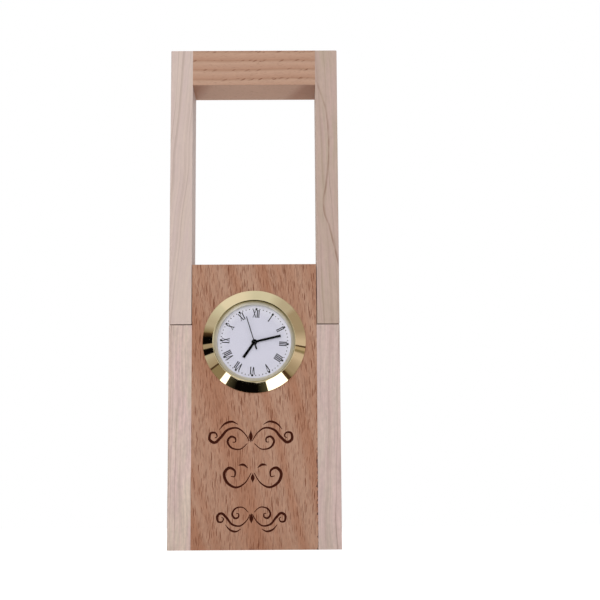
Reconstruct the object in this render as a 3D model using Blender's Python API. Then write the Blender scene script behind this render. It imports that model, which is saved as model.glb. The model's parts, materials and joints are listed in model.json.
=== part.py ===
"""Wooden pen holder clock: an upright board with a folding frame above it.

Two pale rails and a beech panel make the lower half. The panel runs on past the rails as a
tongue, and a frame of two pale arms and a beech top bar hangs on it by two steel pins. The
frame folds back and down as the leg of an easel. A small round quartz insert is pushed into
a blind bore in the panel, held by a rubber band, and pulls out to be set.

Metres, +Z up, the front faces -Y. The origin is the middle of the underside of the board.
"""

from math import atan2, cos, pi, radians, sin, tau

import bmesh
import bpy
from mathutils import Matrix, Vector

# The wooden board
BOARD_WIDTH = 0.0605
BOARD_HEIGHT = 0.180
BOARD_THICKNESS = 0.018
PANEL_WIDTH = 0.0442
SEAM_HEIGHT = 0.07855          # top of the two lower rails
SEAM_GAP = 0.00035             # saw cut between a rail and its arm
TONGUE_RISE = 0.02185          # how far the panel runs on above the rails
ARM_CLEARANCE = 0.0002         # each arm slides past the tongue with this air
BAR_HEIGHT = 0.013
EDGE_ROUND = 0.0002            # sanded outer edges

# The fold of the upper frame
PIVOT_RISE = 0.0106            # pin above the underside of the arms
PIVOT_FROM_BACK = 0.005
PIN_RADIUS = 0.0015
PIN_IN_TONGUE = 0.010
PIN_SINK = 0.0003              # pin's end below the outer face of the arm
DOWEL_RADIUS = 0.002
DOWEL_IN_ARM = 0.005
DOWEL_IN_BAR = 0.007
END_GAP = 0.0003               # air at the bottom of a blind hole

# Fits
RUN_FIT = 0.00009              # radial air round what turns
PRESS_FIT = 0.00005            # radial air drawn round what is pressed on
SEAT_GAP = 0.0001              # air between stacked parts of the insert

# The clock insert, measured from the panel's face: plus is towards the viewer
CLOCK_HEIGHT = 0.0725
DIAL_TILT = radians(3.75)      # the insert sits a little turned, clockwise
BORE_RADIUS = 0.0175
BORE_DEPTH = 0.01035
BEZEL_RADIUS = 0.01825
BEZEL_EDGE = 0.0005            # straight rim at the panel
CREST_RADIUS = 0.01445
CREST_HEIGHT = 0.0028
CREST_FLAT = 0.0003
BEZEL_BULGE = 0.10             # rise of the cone's middle, of its height
SIGHT_RADIUS = 0.01305         # what the bezel leaves in view
LIP_HEIGHT = 0.0015            # underside of the lip that holds the lens
LIP_EDGE = 0.00012
SKIRT_WALL = 0.0009
SKIRT_DEPTH = 0.0026
BAND_PROUD = 0.0003            # skirt below the rubber band's ridges
BAND_AIR = 0.0002              # drawn air between the band and the bore

LENS_THICKNESS = 0.0009
DIAL_RADIUS = 0.01375
DIAL_FACE = -0.0012
DIAL_THICKNESS = 0.0003
DIAL_RING_WALL = 0.00065

CASE_WALL = 0.0011
CASE_DEPTH = 0.0080            # back rim of the case
PLATE_THICKNESS = 0.0008
LID_THICKNESS = 0.0006
LID_LIP_WALL = 0.0007
LID_LIP_DEPTH = 0.0002
BAND_FRONT = -0.0030
BAND_WIDTH = 0.0032
BAND_GROOVE = 0.0004
BAND_RIDGES = 3
BAND_VALLEY = 0.0005

# Hands
HAND_THICKNESS = 0.0002
HAND_STEP = 0.00045            # from one hand's face to the next
HOUR_HAND_LIFT = 0.00045       # face of the hour hand above the dial
HOUR_HAND_LENGTH = 0.00674
HOUR_HAND_WIDTH = 0.0009
HOUR_HUB_RADIUS = 0.00104
MINUTE_HAND_LENGTH = 0.0096
MINUTE_HAND_WIDTH = 0.00078
MINUTE_HUB_RADIUS = 0.0008
SECOND_HAND_LENGTH = 0.0094
SECOND_HAND_TAIL = 0.0028
SECOND_HAND_WIDTH = 0.00028
SECOND_TAIL_WIDTH = 0.0005
SECOND_HUB_RADIUS = 0.0006
SECOND_HUB_HEIGHT = 0.00035
HOUR_ANGLE = radians(215.1)    # clockwise from straight up, as the clock stands
MINUTE_ANGLE = radians(76.9)
SECOND_ANGLE = radians(342.9)

# The train: teeth and distances between arbors
ROTOR_LEAVES = 6
STEP_TEETH = 30
STEP_LEAVES = 6
SECONDS_TEETH = 36
SECONDS_LEAVES = 6
THIRD_TEETH = 45
THIRD_LEAVES = 6
CENTRE_TEETH = 48
CANNON_LEAVES = 12
MOTION_TEETH = 36
MOTION_LEAVES = 10
HOUR_TEETH = 40
SETTING_LEAVES = 12
ROTOR_DISTANCE = 0.00396
STEP_DISTANCE = 0.0066
THIRD_DISTANCE = 0.0064
MOTION_DISTANCE = 0.0060
ROTOR_BEARING = radians(20)    # seen from the front, from +X, turning left
STEP_BEARING = radians(80)
THIRD_BEARING = radians(210)
MOTION_BEARING = radians(300)
SETTING_BEARING = radians(20)
ADDENDUM = 0.8                 # of the module
DEDENDUM = 1.1
ROOT_WIDTH = 1.2               # tooth's width, of half the pitch
TIP_WIDTH = 0.5
WHEEL_THICKNESS = 0.00045
LAYER_GAP = 0.0003
PINION_OVERHANG = 0.00003

SECONDS_ARBOR_RADIUS = 0.0002
ARBOR_RADIUS = 0.0003
ROTOR_ARBOR_RADIUS = 0.00025
PIPE_WALL = 0.00022
POST_RADIUS = 0.0005
COLLAR_RADIUS = 0.0009
COLLAR_THICKNESS = 0.00015
CLUTCH_INNER = 0.0007
CLUTCH_OUTER = 0.0013
CLUTCH_THICKNESS = 0.0001
PIVOT_DEPTH = 0.0004
BRIDGE_THICKNESS = 0.0006
BRIDGE_AIR = 0.0003

# The step motor, beside the rotor
MAGNET_RADIUS = 0.00135
MAGNET_LENGTH = 0.00085
STATOR_THICKNESS = 0.0005
STATOR_HOLE_AIR = 0.00025
STATOR_RIM = 0.00045
STATOR_ARM_WIDTH = 0.0016
STATOR_HALF_SPAN = 0.0056
COIL_OFFSET = 0.0035
CORE_THICKNESS = 0.0005
CORE_WIDTH = 0.0010
FLANGE_RADIUS = 0.0013
FLANGE_THICKNESS = 0.0004
BOBBIN_RADIUS = 0.0008
WINDING_RADIUS = 0.00115

# Circuit and cell
CIRCUIT_INNER = 0.0020
CIRCUIT_OUTER = 0.0142
CIRCUIT_THICKNESS = 0.0004
CIRCUIT_START = radians(165)
CIRCUIT_END = radians(352)
CIRCUIT_HOLE_AIR = 0.0005
CAN_RADIUS = 0.00075
CAN_LENGTH = 0.0050
CAN_PLACE = Vector((0.0033, -0.0086))
CHIP_RADIUS = 0.0012
CHIP_HEIGHT = 0.0007
CHIP_PLACE = Vector((-0.0025, -0.0110))
CELL_RADIUS = 0.0034
CELL_HEIGHT = 0.0026
CELL_STEP = 0.0003
CELL_PLACE = Vector((-0.0080, 0.0075))
CELL_BACK = -0.0070
CONTACT_THICKNESS = 0.0002
CONTACT_WIDTH = 0.0014
MINUS_RUN = 0.0055
MINUS_BEARING = radians(246.7)
PLUS_RUN = 0.0028
PLUS_BEARING = radians(280)
PLUS_TAB_FRONT = -0.0046

# Posts, screws and the setting knob
POST_CIRCLE = 0.0123
SCREW_POST_RADIUS = 0.0009
SCREW_BEARINGS = (radians(175), radians(5), radians(295))
SCREW_RADIUS = 0.00045
SCREW_LENGTH = 0.0016
SCREW_HEAD_RADIUS = 0.0009
SCREW_HEAD_HEIGHT = 0.00025
SCREW_SLOT_WIDTH = 0.00025
SCREW_SLOT_DEPTH = 0.00012
SETTING_SHAFT_RADIUS = 0.0005
KNOB_RADIUS = 0.0026
KNOB_THICKNESS = 0.0010
KNOB_AIR = 0.00025
KNOB_RIBS = 16
KNOB_RIB_DEPTH = 0.00015

ROUND_STEPS = 48               # facets of the bezel, the dial and the bore
HIDDEN_STEPS = 36              # of the case and what closes it
PIN_STEPS = 24
SMALL_STEPS = 16
FINE_STEPS = 12                # of pivots and their holes
ARC_STEPS = 8
BEZEL_FACE_STEPS = 5

# Sizes that follow from the ones above
HALF_THICKNESS = BOARD_THICKNESS / 2
HALF_PANEL = PANEL_WIDTH / 2
RAIL_WIDTH = (BOARD_WIDTH - PANEL_WIDTH) / 2
ARM_INNER = HALF_PANEL + ARM_CLEARANCE
ARM_WIDTH = BOARD_WIDTH / 2 - ARM_INNER
ARM_BOTTOM = SEAM_HEIGHT + SEAM_GAP
PANEL_HEIGHT = SEAM_HEIGHT + TONGUE_RISE
PIVOT = Vector((0, HALF_THICKNESS - PIVOT_FROM_BACK, ARM_BOTTOM + PIVOT_RISE))
SKIRT_RADIUS = BORE_RADIUS - BAND_AIR - BAND_PROUD
CASE_RADIUS = SKIRT_RADIUS - SKIRT_WALL - SEAT_GAP
CASE_INNER = CASE_RADIUS - CASE_WALL
POCKET_RADIUS = DIAL_RADIUS + SEAT_GAP
DIAL_BACK = DIAL_FACE - DIAL_THICKNESS
PLATE_FRONT = DIAL_BACK - SEAT_GAP
PLATE_BACK = PLATE_FRONT - PLATE_THICKNESS
LENS_FRONT = LIP_HEIGHT - PRESS_FIT
LENS_BACK = LENS_FRONT - LENS_THICKNESS
LAYER_STEP = WHEEL_THICKNESS + LAYER_GAP


def layer_front(number):
    """Front of a wheel in the stack behind the plate, counted from 0."""
    return PLATE_BACK - LAYER_GAP - number * LAYER_STEP


HOUR_LAYER, MOTION_LAYER, CENTRE_LAYER, THIRD_LAYER, SECONDS_LAYER, STEP_LAYER = range(6)
BRIDGE_FRONT = layer_front(STEP_LAYER) - WHEEL_THICKNESS - BRIDGE_AIR
BRIDGE_BACK = BRIDGE_FRONT - BRIDGE_THICKNESS
ARBOR_FRONT = PLATE_BACK + PIVOT_DEPTH - SEAT_GAP
ARBOR_BACK = BRIDGE_BACK + SEAT_GAP
LID_FRONT = -CASE_DEPTH - SEAT_GAP
LID_BACK = LID_FRONT - LID_THICKNESS
KNOB_FRONT = LID_BACK - KNOB_AIR
KNOB_BACK = KNOB_FRONT - KNOB_THICKNESS
CIRCUIT_BACK = layer_front(STEP_LAYER) - WHEEL_THICKNESS
CIRCUIT_FRONT = CIRCUIT_BACK + CIRCUIT_THICKNESS

# Radii of the three arbors that turn inside each other
MINUTE_BORE = SECONDS_ARBOR_RADIUS + RUN_FIT
MINUTE_PIPE = MINUTE_BORE + PIPE_WALL
HOUR_BORE = MINUTE_PIPE + RUN_FIT
HOUR_PIPE = HOUR_BORE + PIPE_WALL
CENTRE_HOLE = HOUR_PIPE + RUN_FIT

# Faces of the three hands
HOUR_HAND_FACE = DIAL_FACE + HOUR_HAND_LIFT
MINUTE_HAND_FACE = HOUR_HAND_FACE + HAND_STEP
SECOND_HAND_FACE = MINUTE_HAND_FACE + HAND_STEP

# Looks of the materials: colour, roughness, metallic
MAPLE = ((0.60, 0.47, 0.42), 0.55, 0.0)
BEECH = ((0.42, 0.25, 0.17), 0.55, 0.0)
STEEL = ((0.55, 0.55, 0.56), 0.35, 1.0)
BRASS = ((0.80, 0.66, 0.42), 0.20, 1.0)
ACRYLIC = ((0.95, 0.95, 0.97), 0.05, 0.0)
WHITE_CARD = ((0.66, 0.62, 0.68), 0.60, 0.0)
BLACK_METAL = ((0.02, 0.02, 0.02), 0.40, 0.6)
BLACK_PLASTIC = ((0.03, 0.03, 0.03), 0.50, 0.0)
WHITE_PLASTIC = ((0.80, 0.80, 0.78), 0.45, 0.0)
RUBBER = ((0.05, 0.05, 0.05), 0.80, 0.0)
COPPER = ((0.70, 0.30, 0.18), 0.35, 1.0)
FIBRE = ((0.10, 0.25, 0.12), 0.60, 0.0)
DOWEL_WOOD = ((0.55, 0.38, 0.25), 0.60, 0.0)


def paint(piece, look):
    """Give one piece a material of its own."""
    colour, roughness, metallic = look
    surface = bpy.data.materials.new(piece.name + "_surface")
    surface.use_nodes = True
    shader = surface.node_tree.nodes["Principled BSDF"]
    shader.inputs["Base Color"].default_value = (*colour, 1.0)
    shader.inputs["Roughness"].default_value = roughness
    shader.inputs["Metallic"].default_value = metallic
    piece.data.materials.append(surface)


def piece_from(name, shape, look, parent=None, place=(0, 0, 0), turn=(0, 0, 0)):
    """Turn a finished bmesh into a named, painted piece under its parent."""
    mesh = bpy.data.meshes.new(name)
    shape.to_mesh(mesh)
    shape.free()
    mesh.shade_smooth()
    mesh.set_sharp_from_angle(angle=radians(30))
    piece = bpy.data.objects.new(name, mesh)
    bpy.context.scene.collection.objects.link(piece)
    piece.parent = parent
    piece.location = place
    piece.rotation_euler = turn
    if look:
        paint(piece, look)
    return piece


def empty_at(name, place, turn=(0, 0, 0), parent=None):
    """An axis that pieces hang on."""
    axis = bpy.data.objects.new(name, None)
    axis.empty_display_size = 0.005
    axis.location = place
    axis.rotation_euler = turn
    axis.parent = parent
    bpy.context.scene.collection.objects.link(axis)
    return axis


def combine(piece, tool_shape, operation, place=(0, 0, 0), turn=(0, 0, 0)):
    """Cut a shape from a piece, or join one to it; the tool stays as a hidden guide."""
    number = len(piece.modifiers) + 1
    tool = piece_from(piece.name + "_tool_" + str(number), tool_shape, None, piece, place, turn)
    tool.hide_render = True
    tool.display_type = "WIRE"
    change = piece.modifiers.new(operation.lower() + "_" + str(number), "BOOLEAN")
    change.operation = operation
    change.solver = "EXACT"
    change.object = tool
    return tool


def prism(outline, low, high):
    """Closed solid on a plan outline, from one height to another."""
    shape = bmesh.new()
    rim = [shape.verts.new((x, y, low)) for x, y in outline]
    base = shape.faces.new(rim)
    grown = bmesh.ops.extrude_face_region(shape, geom=[base])["geom"]
    raised = [item for item in grown if isinstance(item, bmesh.types.BMVert)]
    bmesh.ops.translate(shape, verts=raised, vec=(0, 0, high - low))
    bmesh.ops.recalc_face_normals(shape, faces=shape.faces)
    return shape


def turned(profile, steps):
    """Solid of revolution about z from a run of (radius, height) points.

    A run that starts and ends on the axis is left open there; any other run is a closed loop.
    """
    shape = bmesh.new()
    rim = [shape.verts.new((radius, 0, height)) for radius, height in profile]
    edges = [shape.edges.new(pair) for pair in zip(rim, rim[1:])]
    if profile[0][0] > 0:
        edges.append(shape.edges.new((rim[-1], rim[0])))
    bmesh.ops.spin(shape, geom=rim + edges, cent=(0, 0, 0), axis=(0, 0, 1), angle=tau,
                   steps=steps, use_merge=True, use_duplicate=False)
    bmesh.ops.remove_doubles(shape, verts=shape.verts, dist=1e-7)
    bmesh.ops.recalc_face_normals(shape, faces=shape.faces)
    return shape


def rod(radius, low, high, steps=SMALL_STEPS):
    """Plain round rod along z."""
    return turned([(0, low), (radius, low), (radius, high), (0, high)], steps)


def tube(inner, outer, low, high, steps=SMALL_STEPS):
    """Plain ring or pipe along z."""
    return turned([(inner, low), (outer, low), (outer, high), (inner, high)], steps)


def settle():
    """Apply every join and cut, drop the tools, and shade each piece sharp at its edges."""
    bpy.context.view_layer.update()
    graph = bpy.context.evaluated_depsgraph_get()
    shaped = [piece for piece in bpy.data.objects if piece.modifiers]
    results = [bpy.data.meshes.new_from_object(piece.evaluated_get(graph)) for piece in shaped]
    for piece, mesh in zip(shaped, results):
        for change in piece.modifiers:
            bpy.data.objects.remove(change.object, do_unlink=True)
        piece.modifiers.clear()
        mesh.name = piece.name
        mesh.shade_smooth()
        mesh.set_sharp_from_angle(angle=radians(30))
        piece.data = mesh


def box(size, centre):
    """Plain block, from its size and the middle of it."""
    shape = bmesh.new()
    bmesh.ops.create_cube(shape, size=1.0)
    bmesh.ops.scale(shape, vec=size, verts=shape.verts)
    bmesh.ops.translate(shape, vec=centre, verts=shape.verts)
    return shape


def soften(shape, edges, radius=EDGE_ROUND):
    """Sand chosen edges round."""
    bmesh.ops.bevel(shape, geom=list(edges), offset=radius, offset_type="OFFSET", segments=2,
                    profile=0.5, affect="EDGES", clamp_overlap=True)


def edges_at(shape, axis, value, across=None):
    """Edges that lie in one plane, and, if asked, run along one axis only."""
    chosen = []
    for edge in shape.edges:
        ends = [vertex.co for vertex in edge.verts]
        lies = all(abs(end[axis] - value) < 1e-6 for end in ends)
        run = ends[1] - ends[0]
        along = across is None or abs(run[across]) > 0.999 * run.length
        if lies and along:
            chosen.append(edge)
    return chosen


def polar(radius, angle):
    """Plan point at a radius and an angle."""
    return Vector((radius * cos(angle), radius * sin(angle)))


def upright(shape):
    """Lay a shape drawn along z down so that it runs along x."""
    bmesh.ops.rotate(shape, cent=(0, 0, 0), matrix=Matrix.Rotation(pi / 2, 3, "Y"),
                     verts=shape.verts)
    return shape


# Wood


def make_panel():
    """Beech panel with its tongue, the bore for the clock and two pin holes."""
    shape = box((PANEL_WIDTH, BOARD_THICKNESS, PANEL_HEIGHT), (0, 0, PANEL_HEIGHT / 2))
    soften(shape, edges_at(shape, 2, PANEL_HEIGHT, across=0))
    panel = piece_from("clock_panel", shape, BEECH)
    combine(panel, rod(BORE_RADIUS, -BORE_DEPTH, BEZEL_RADIUS, ROUND_STEPS), "DIFFERENCE",
            (0, -HALF_THICKNESS, CLOCK_HEIGHT), (pi / 2, 0, 0))
    reach = PIN_IN_TONGUE + END_GAP
    for side in (-1, 1):
        hole = upright(rod(PIN_RADIUS + PRESS_FIT, -reach, reach, PIN_STEPS))
        combine(panel, hole, "DIFFERENCE", (side * HALF_PANEL, PIVOT.y, PIVOT.z))
    return panel


def make_rails():
    """Two short pale rails, glued to the sides of the panel."""
    shape = box((RAIL_WIDTH, BOARD_THICKNESS, SEAM_HEIGHT), (RAIL_WIDTH / 2, 0, SEAM_HEIGHT / 2))
    soften(shape, edges_at(shape, 0, RAIL_WIDTH, across=2))
    right = piece_from("lower_rail_right", shape, MAPLE, None, (HALF_PANEL, 0, 0))
    left = bpy.data.objects.new("lower_rail_left", right.data)
    left.location = (-HALF_PANEL, 0, 0)
    left.rotation_euler = (0, 0, pi)
    bpy.context.scene.collection.objects.link(left)


def arm_side_outline():
    """Side view of an arm about its pivot: y back, z up.

    The lower back corner is an arc about the pin, so that it passes over the rail.
    """
    front = -(BOARD_THICKNESS - PIVOT_FROM_BACK)
    back = PIVOT_FROM_BACK
    top = BOARD_HEIGHT - PIVOT.z
    lift = (PIVOT_RISE ** 2 - PIVOT_FROM_BACK ** 2) ** 0.5
    start = -pi / 2
    end = atan2(-lift, back)
    arc = [polar(PIVOT_RISE, start + (end - start) * step / ARC_STEPS)
           for step in range(ARC_STEPS + 1)]
    return [(front, -PIVOT_RISE)] + [tuple(point) for point in arc] + [(back, top), (front, top)]


def make_frame(fold_axis):
    """The folding upper frame: two pale arms, a beech bar and its two dowels."""
    bar_middle = BOARD_HEIGHT - BAR_HEIGHT / 2 - PIVOT.z
    forward = -PIVOT.y
    for side, label in ((-1, "left"), (1, "right")):
        shape = prism(arm_side_outline(), 0, ARM_WIDTH)
        swap = Matrix(((0, 0, 1), (1, 0, 0), (0, 1, 0)))
        bmesh.ops.transform(shape, matrix=swap.to_4x4(), verts=shape.verts)
        soften(shape, edges_at(shape, 0, ARM_WIDTH))
        bmesh.ops.scale(shape, vec=(side, 1, 1), verts=shape.verts)
        bmesh.ops.recalc_face_normals(shape, faces=shape.faces)
        arm = piece_from("frame_arm_" + label, shape, MAPLE, fold_axis, (side * ARM_INNER, 0, 0))
        through = upright(rod(PIN_RADIUS + RUN_FIT, -2 * ARM_WIDTH, 2 * ARM_WIDTH, PIN_STEPS))
        combine(arm, through, "DIFFERENCE")
        socket = DOWEL_IN_ARM + END_GAP
        pocket = upright(rod(DOWEL_RADIUS + PRESS_FIT, -socket, socket))
        combine(arm, pocket, "DIFFERENCE", (0, forward, bar_middle))

    shape = box((2 * ARM_INNER, BOARD_THICKNESS, BAR_HEIGHT), (0, 0, 0))
    bar = piece_from("frame_top_bar", shape, BEECH, fold_axis, (0, forward, bar_middle))
    for side, label in ((-1, "left"), (1, "right")):
        socket = DOWEL_IN_BAR + END_GAP
        pocket = upright(rod(DOWEL_RADIUS + PRESS_FIT, -socket, socket))
        combine(bar, pocket, "DIFFERENCE", (side * ARM_INNER, 0, 0))
        dowel = upright(rod(DOWEL_RADIUS, -DOWEL_IN_BAR, DOWEL_IN_ARM))
        turn = (0, 0, 0) if side > 0 else (0, 0, pi)
        piece_from("bar_dowel_" + label, dowel, DOWEL_WOOD, fold_axis,
                   (side * ARM_INNER, forward, bar_middle), turn)


def make_pins(fold_axis):
    """Steel pins, driven in from the outer faces; the arms turn on them."""
    outer = BOARD_WIDTH / 2 - PIN_SINK
    inner = HALF_PANEL - PIN_IN_TONGUE
    for side, label in ((-1, "left"), (1, "right")):
        pin = upright(rod(PIN_RADIUS, inner, outer, PIN_STEPS))
        turn = (0, 0, 0) if side > 0 else (0, 0, pi)
        piece_from("pivot_pin_" + label, pin, STEEL, fold_axis, (0, 0, 0), turn)


# The visible part of the insert


def make_bezel(insert):
    """Polished brass ring: a low convex cone, a crest, and a bevel down to the lens."""
    run = BEZEL_RADIUS - CREST_RADIUS
    climb = CREST_HEIGHT - BEZEL_EDGE
    face = []
    for step in range(BEZEL_FACE_STEPS):
        share = step / BEZEL_FACE_STEPS
        bulge = BEZEL_BULGE * climb * sin(pi * share)
        face.append((BEZEL_RADIUS - run * share, BEZEL_EDGE + climb * share + bulge))
    profile = [(SKIRT_RADIUS, -SKIRT_DEPTH), (SKIRT_RADIUS, 0), (BEZEL_RADIUS, 0)]
    profile += face
    profile += [(CREST_RADIUS + CREST_FLAT, CREST_HEIGHT), (CREST_RADIUS, CREST_HEIGHT),
                (SIGHT_RADIUS, LIP_HEIGHT + LIP_EDGE), (SIGHT_RADIUS, LIP_HEIGHT),
                (POCKET_RADIUS, LIP_HEIGHT), (POCKET_RADIUS, DIAL_BACK),
                (CASE_RADIUS + SEAT_GAP, DIAL_BACK), (CASE_RADIUS + SEAT_GAP, -SKIRT_DEPTH)]
    piece_from("bezel_ring", turned(profile, ROUND_STEPS), BRASS, insert)


def make_dial(insert):
    """Lens, spacer ring and dial, stacked in the bezel's pocket."""
    lens = rod(DIAL_RADIUS, LENS_BACK, LENS_FRONT, ROUND_STEPS)
    piece_from("lens", lens, ACRYLIC, insert)
    ring = tube(DIAL_RADIUS - DIAL_RING_WALL, DIAL_RADIUS, DIAL_FACE + PRESS_FIT,
                LENS_BACK - PRESS_FIT, ROUND_STEPS)
    piece_from("dial_ring", ring, BRASS, insert)
    dial = tube(CENTRE_HOLE, DIAL_RADIUS, DIAL_BACK, DIAL_FACE, ROUND_STEPS)
    piece_from("dial", dial, WHITE_CARD, insert)


def hand(name, face, hub, hole, length, width, axis, angle, hub_height=HAND_THICKNESS,
         tail=None):
    """A straight baton hand on its hub, turned clockwise from straight up.

    tail is the length and width of its balancing tail, where it has one.
    """
    back = face - HAND_THICKNESS
    outline = [(width / 2, 0), (width / 2, length), (-width / 2, length), (-width / 2, 0)]
    if tail:
        reach, broad = tail
        outline += [(-broad / 2, 0), (-broad / 2, -reach), (broad / 2, -reach), (broad / 2, 0)]
    shape = prism(outline, back, face)
    piece = piece_from(name, shape, BLACK_METAL, axis, (0, 0, 0), (0, 0, -angle))
    combine(piece, rod(hub, back, back + hub_height), "UNION")
    combine(piece, hole, "DIFFERENCE")


def make_hands(seconds_axis, minute_axis, hour_axis):
    """Three black hands, pushed onto their pipes."""
    over = 4 * HAND_THICKNESS
    hole = rod(HOUR_PIPE + PRESS_FIT, DIAL_FACE - over, HOUR_HAND_FACE + over)
    hand("hour_hand", HOUR_HAND_FACE, HOUR_HUB_RADIUS, hole, HOUR_HAND_LENGTH,
         HOUR_HAND_WIDTH, hour_axis, HOUR_ANGLE - DIAL_TILT)
    hole = rod(MINUTE_PIPE + PRESS_FIT, DIAL_FACE - over, MINUTE_HAND_FACE + over)
    hand("minute_hand", MINUTE_HAND_FACE, MINUTE_HUB_RADIUS, hole, MINUTE_HAND_LENGTH,
         MINUTE_HAND_WIDTH, minute_axis, MINUTE_ANGLE - DIAL_TILT)
    hole = rod(SECONDS_ARBOR_RADIUS + PRESS_FIT, DIAL_FACE - over, SECOND_HAND_FACE, FINE_STEPS)
    hand("second_hand", SECOND_HAND_FACE, SECOND_HUB_RADIUS, hole, SECOND_HAND_LENGTH,
         SECOND_HAND_WIDTH, seconds_axis, SECOND_ANGLE - DIAL_TILT, SECOND_HUB_HEIGHT,
         (SECOND_HAND_TAIL, SECOND_TAIL_WIDTH))


# Wheels


def gear_outline(teeth, module, phase):
    """Outline of a gear with straight-sided teeth, the first one at the phase angle."""
    root = (teeth / 2 - DEDENDUM) * module
    tip = (teeth / 2 + ADDENDUM) * module
    quarter = tau / teeth / 4
    corners = ((root, -ROOT_WIDTH), (tip, -TIP_WIDTH), (tip, TIP_WIDTH), (root, ROOT_WIDTH))
    outline = []
    for tooth in range(teeth):
        middle = phase + tooth * tau / teeth
        outline += [polar(radius, middle + share * quarter) for radius, share in corners]
    return outline


def module_of(distance, teeth_a, teeth_b):
    """Module that makes two gears mesh at a distance."""
    return 2 * distance / (teeth_a + teeth_b)


def meshed_phase(bearing, phase, teeth, other_teeth):
    """Phase of a gear that meshes, on the given bearing, with one of known phase."""
    past_tooth = (bearing - phase) * teeth / tau
    return bearing + pi - (0.5 - past_tooth) * tau / other_teeth


def gear_at_layer(teeth, module, phase, number, overhang=0.0):
    """Solid gear in one layer of the stack."""
    front = layer_front(number)
    return prism(gear_outline(teeth, module, phase), front - WHEEL_THICKNESS - overhang,
                 front + overhang)


def arbor_piece(name, axis, look, solids, bore=None):
    """One wheel: the first solid with the others joined to it, and bored if it is a pipe."""
    piece = piece_from(name, solids[0], look, axis)
    for solid in solids[1:]:
        combine(piece, solid, "UNION")
    if bore:
        combine(piece, bore, "DIFFERENCE")
    return piece


def make_train(axes, places):
    """The running train, from the rotor to the centre wheel."""
    step_module = module_of(ROTOR_DISTANCE, ROTOR_LEAVES, STEP_TEETH)
    seconds_module = module_of(STEP_DISTANCE, STEP_LEAVES, SECONDS_TEETH)
    third_module = module_of(THIRD_DISTANCE, SECONDS_LEAVES, THIRD_TEETH)
    centre_module = module_of(THIRD_DISTANCE, THIRD_LEAVES, CENTRE_TEETH)

    arbor = rod(ROTOR_ARBOR_RADIUS, ARBOR_BACK, ARBOR_FRONT, FINE_STEPS)
    leaves = gear_at_layer(ROTOR_LEAVES, step_module, 0, STEP_LAYER, PINION_OVERHANG)
    arbor_piece("rotor_pinion", axes["rotor"], WHITE_PLASTIC, [arbor, leaves])
    middle = layer_front(THIRD_LAYER) - SEAT_GAP - STATOR_THICKNESS / 2
    magnet = tube(ROTOR_ARBOR_RADIUS + PRESS_FIT, MAGNET_RADIUS, middle - MAGNET_LENGTH / 2,
                  middle + MAGNET_LENGTH / 2)
    piece_from("rotor_magnet", magnet, STEEL, axes["rotor"])

    to_rotor = places["rotor"] - places["step"]
    rotor_bearing = atan2(to_rotor.y, to_rotor.x)
    phase = meshed_phase(rotor_bearing + pi, 0, ROTOR_LEAVES, STEP_TEETH)
    wheel = gear_at_layer(STEP_TEETH, step_module, phase, STEP_LAYER)
    leaves = gear_at_layer(STEP_LEAVES, seconds_module, 0, SECONDS_LAYER, PINION_OVERHANG)
    arbor = rod(ARBOR_RADIUS, ARBOR_BACK, ARBOR_FRONT, FINE_STEPS)
    arbor_piece("step_wheel", axes["step"], WHITE_PLASTIC, [arbor, leaves, wheel])

    phase = meshed_phase(STEP_BEARING + pi, 0, STEP_LEAVES, SECONDS_TEETH)
    wheel = gear_at_layer(SECONDS_TEETH, seconds_module, phase, SECONDS_LAYER)
    leaves = gear_at_layer(SECONDS_LEAVES, third_module, 0, THIRD_LAYER, PINION_OVERHANG)
    tip = SECOND_HAND_FACE - PRESS_FIT
    arbor = rod(SECONDS_ARBOR_RADIUS, ARBOR_BACK, tip, FINE_STEPS)
    arbor_piece("seconds_wheel", axes["seconds"], WHITE_PLASTIC, [arbor, leaves, wheel])

    phase = meshed_phase(THIRD_BEARING, 0, SECONDS_LEAVES, THIRD_TEETH)
    wheel = gear_at_layer(THIRD_TEETH, third_module, phase, THIRD_LAYER)
    leaves = gear_at_layer(THIRD_LEAVES, centre_module, 0, CENTRE_LAYER, PINION_OVERHANG)
    arbor = rod(ARBOR_RADIUS, ARBOR_BACK, ARBOR_FRONT, FINE_STEPS)
    arbor_piece("third_wheel", axes["third"], WHITE_PLASTIC, [arbor, leaves, wheel])

    phase = meshed_phase(THIRD_BEARING + pi, 0, THIRD_LEAVES, CENTRE_TEETH)
    wheel = gear_at_layer(CENTRE_TEETH, centre_module, phase, CENTRE_LAYER)
    hole = rod(MINUTE_PIPE + RUN_FIT, BRIDGE_BACK, 0)
    arbor_piece("centre_wheel", axes["centre"], BRASS, [wheel], hole)


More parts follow.
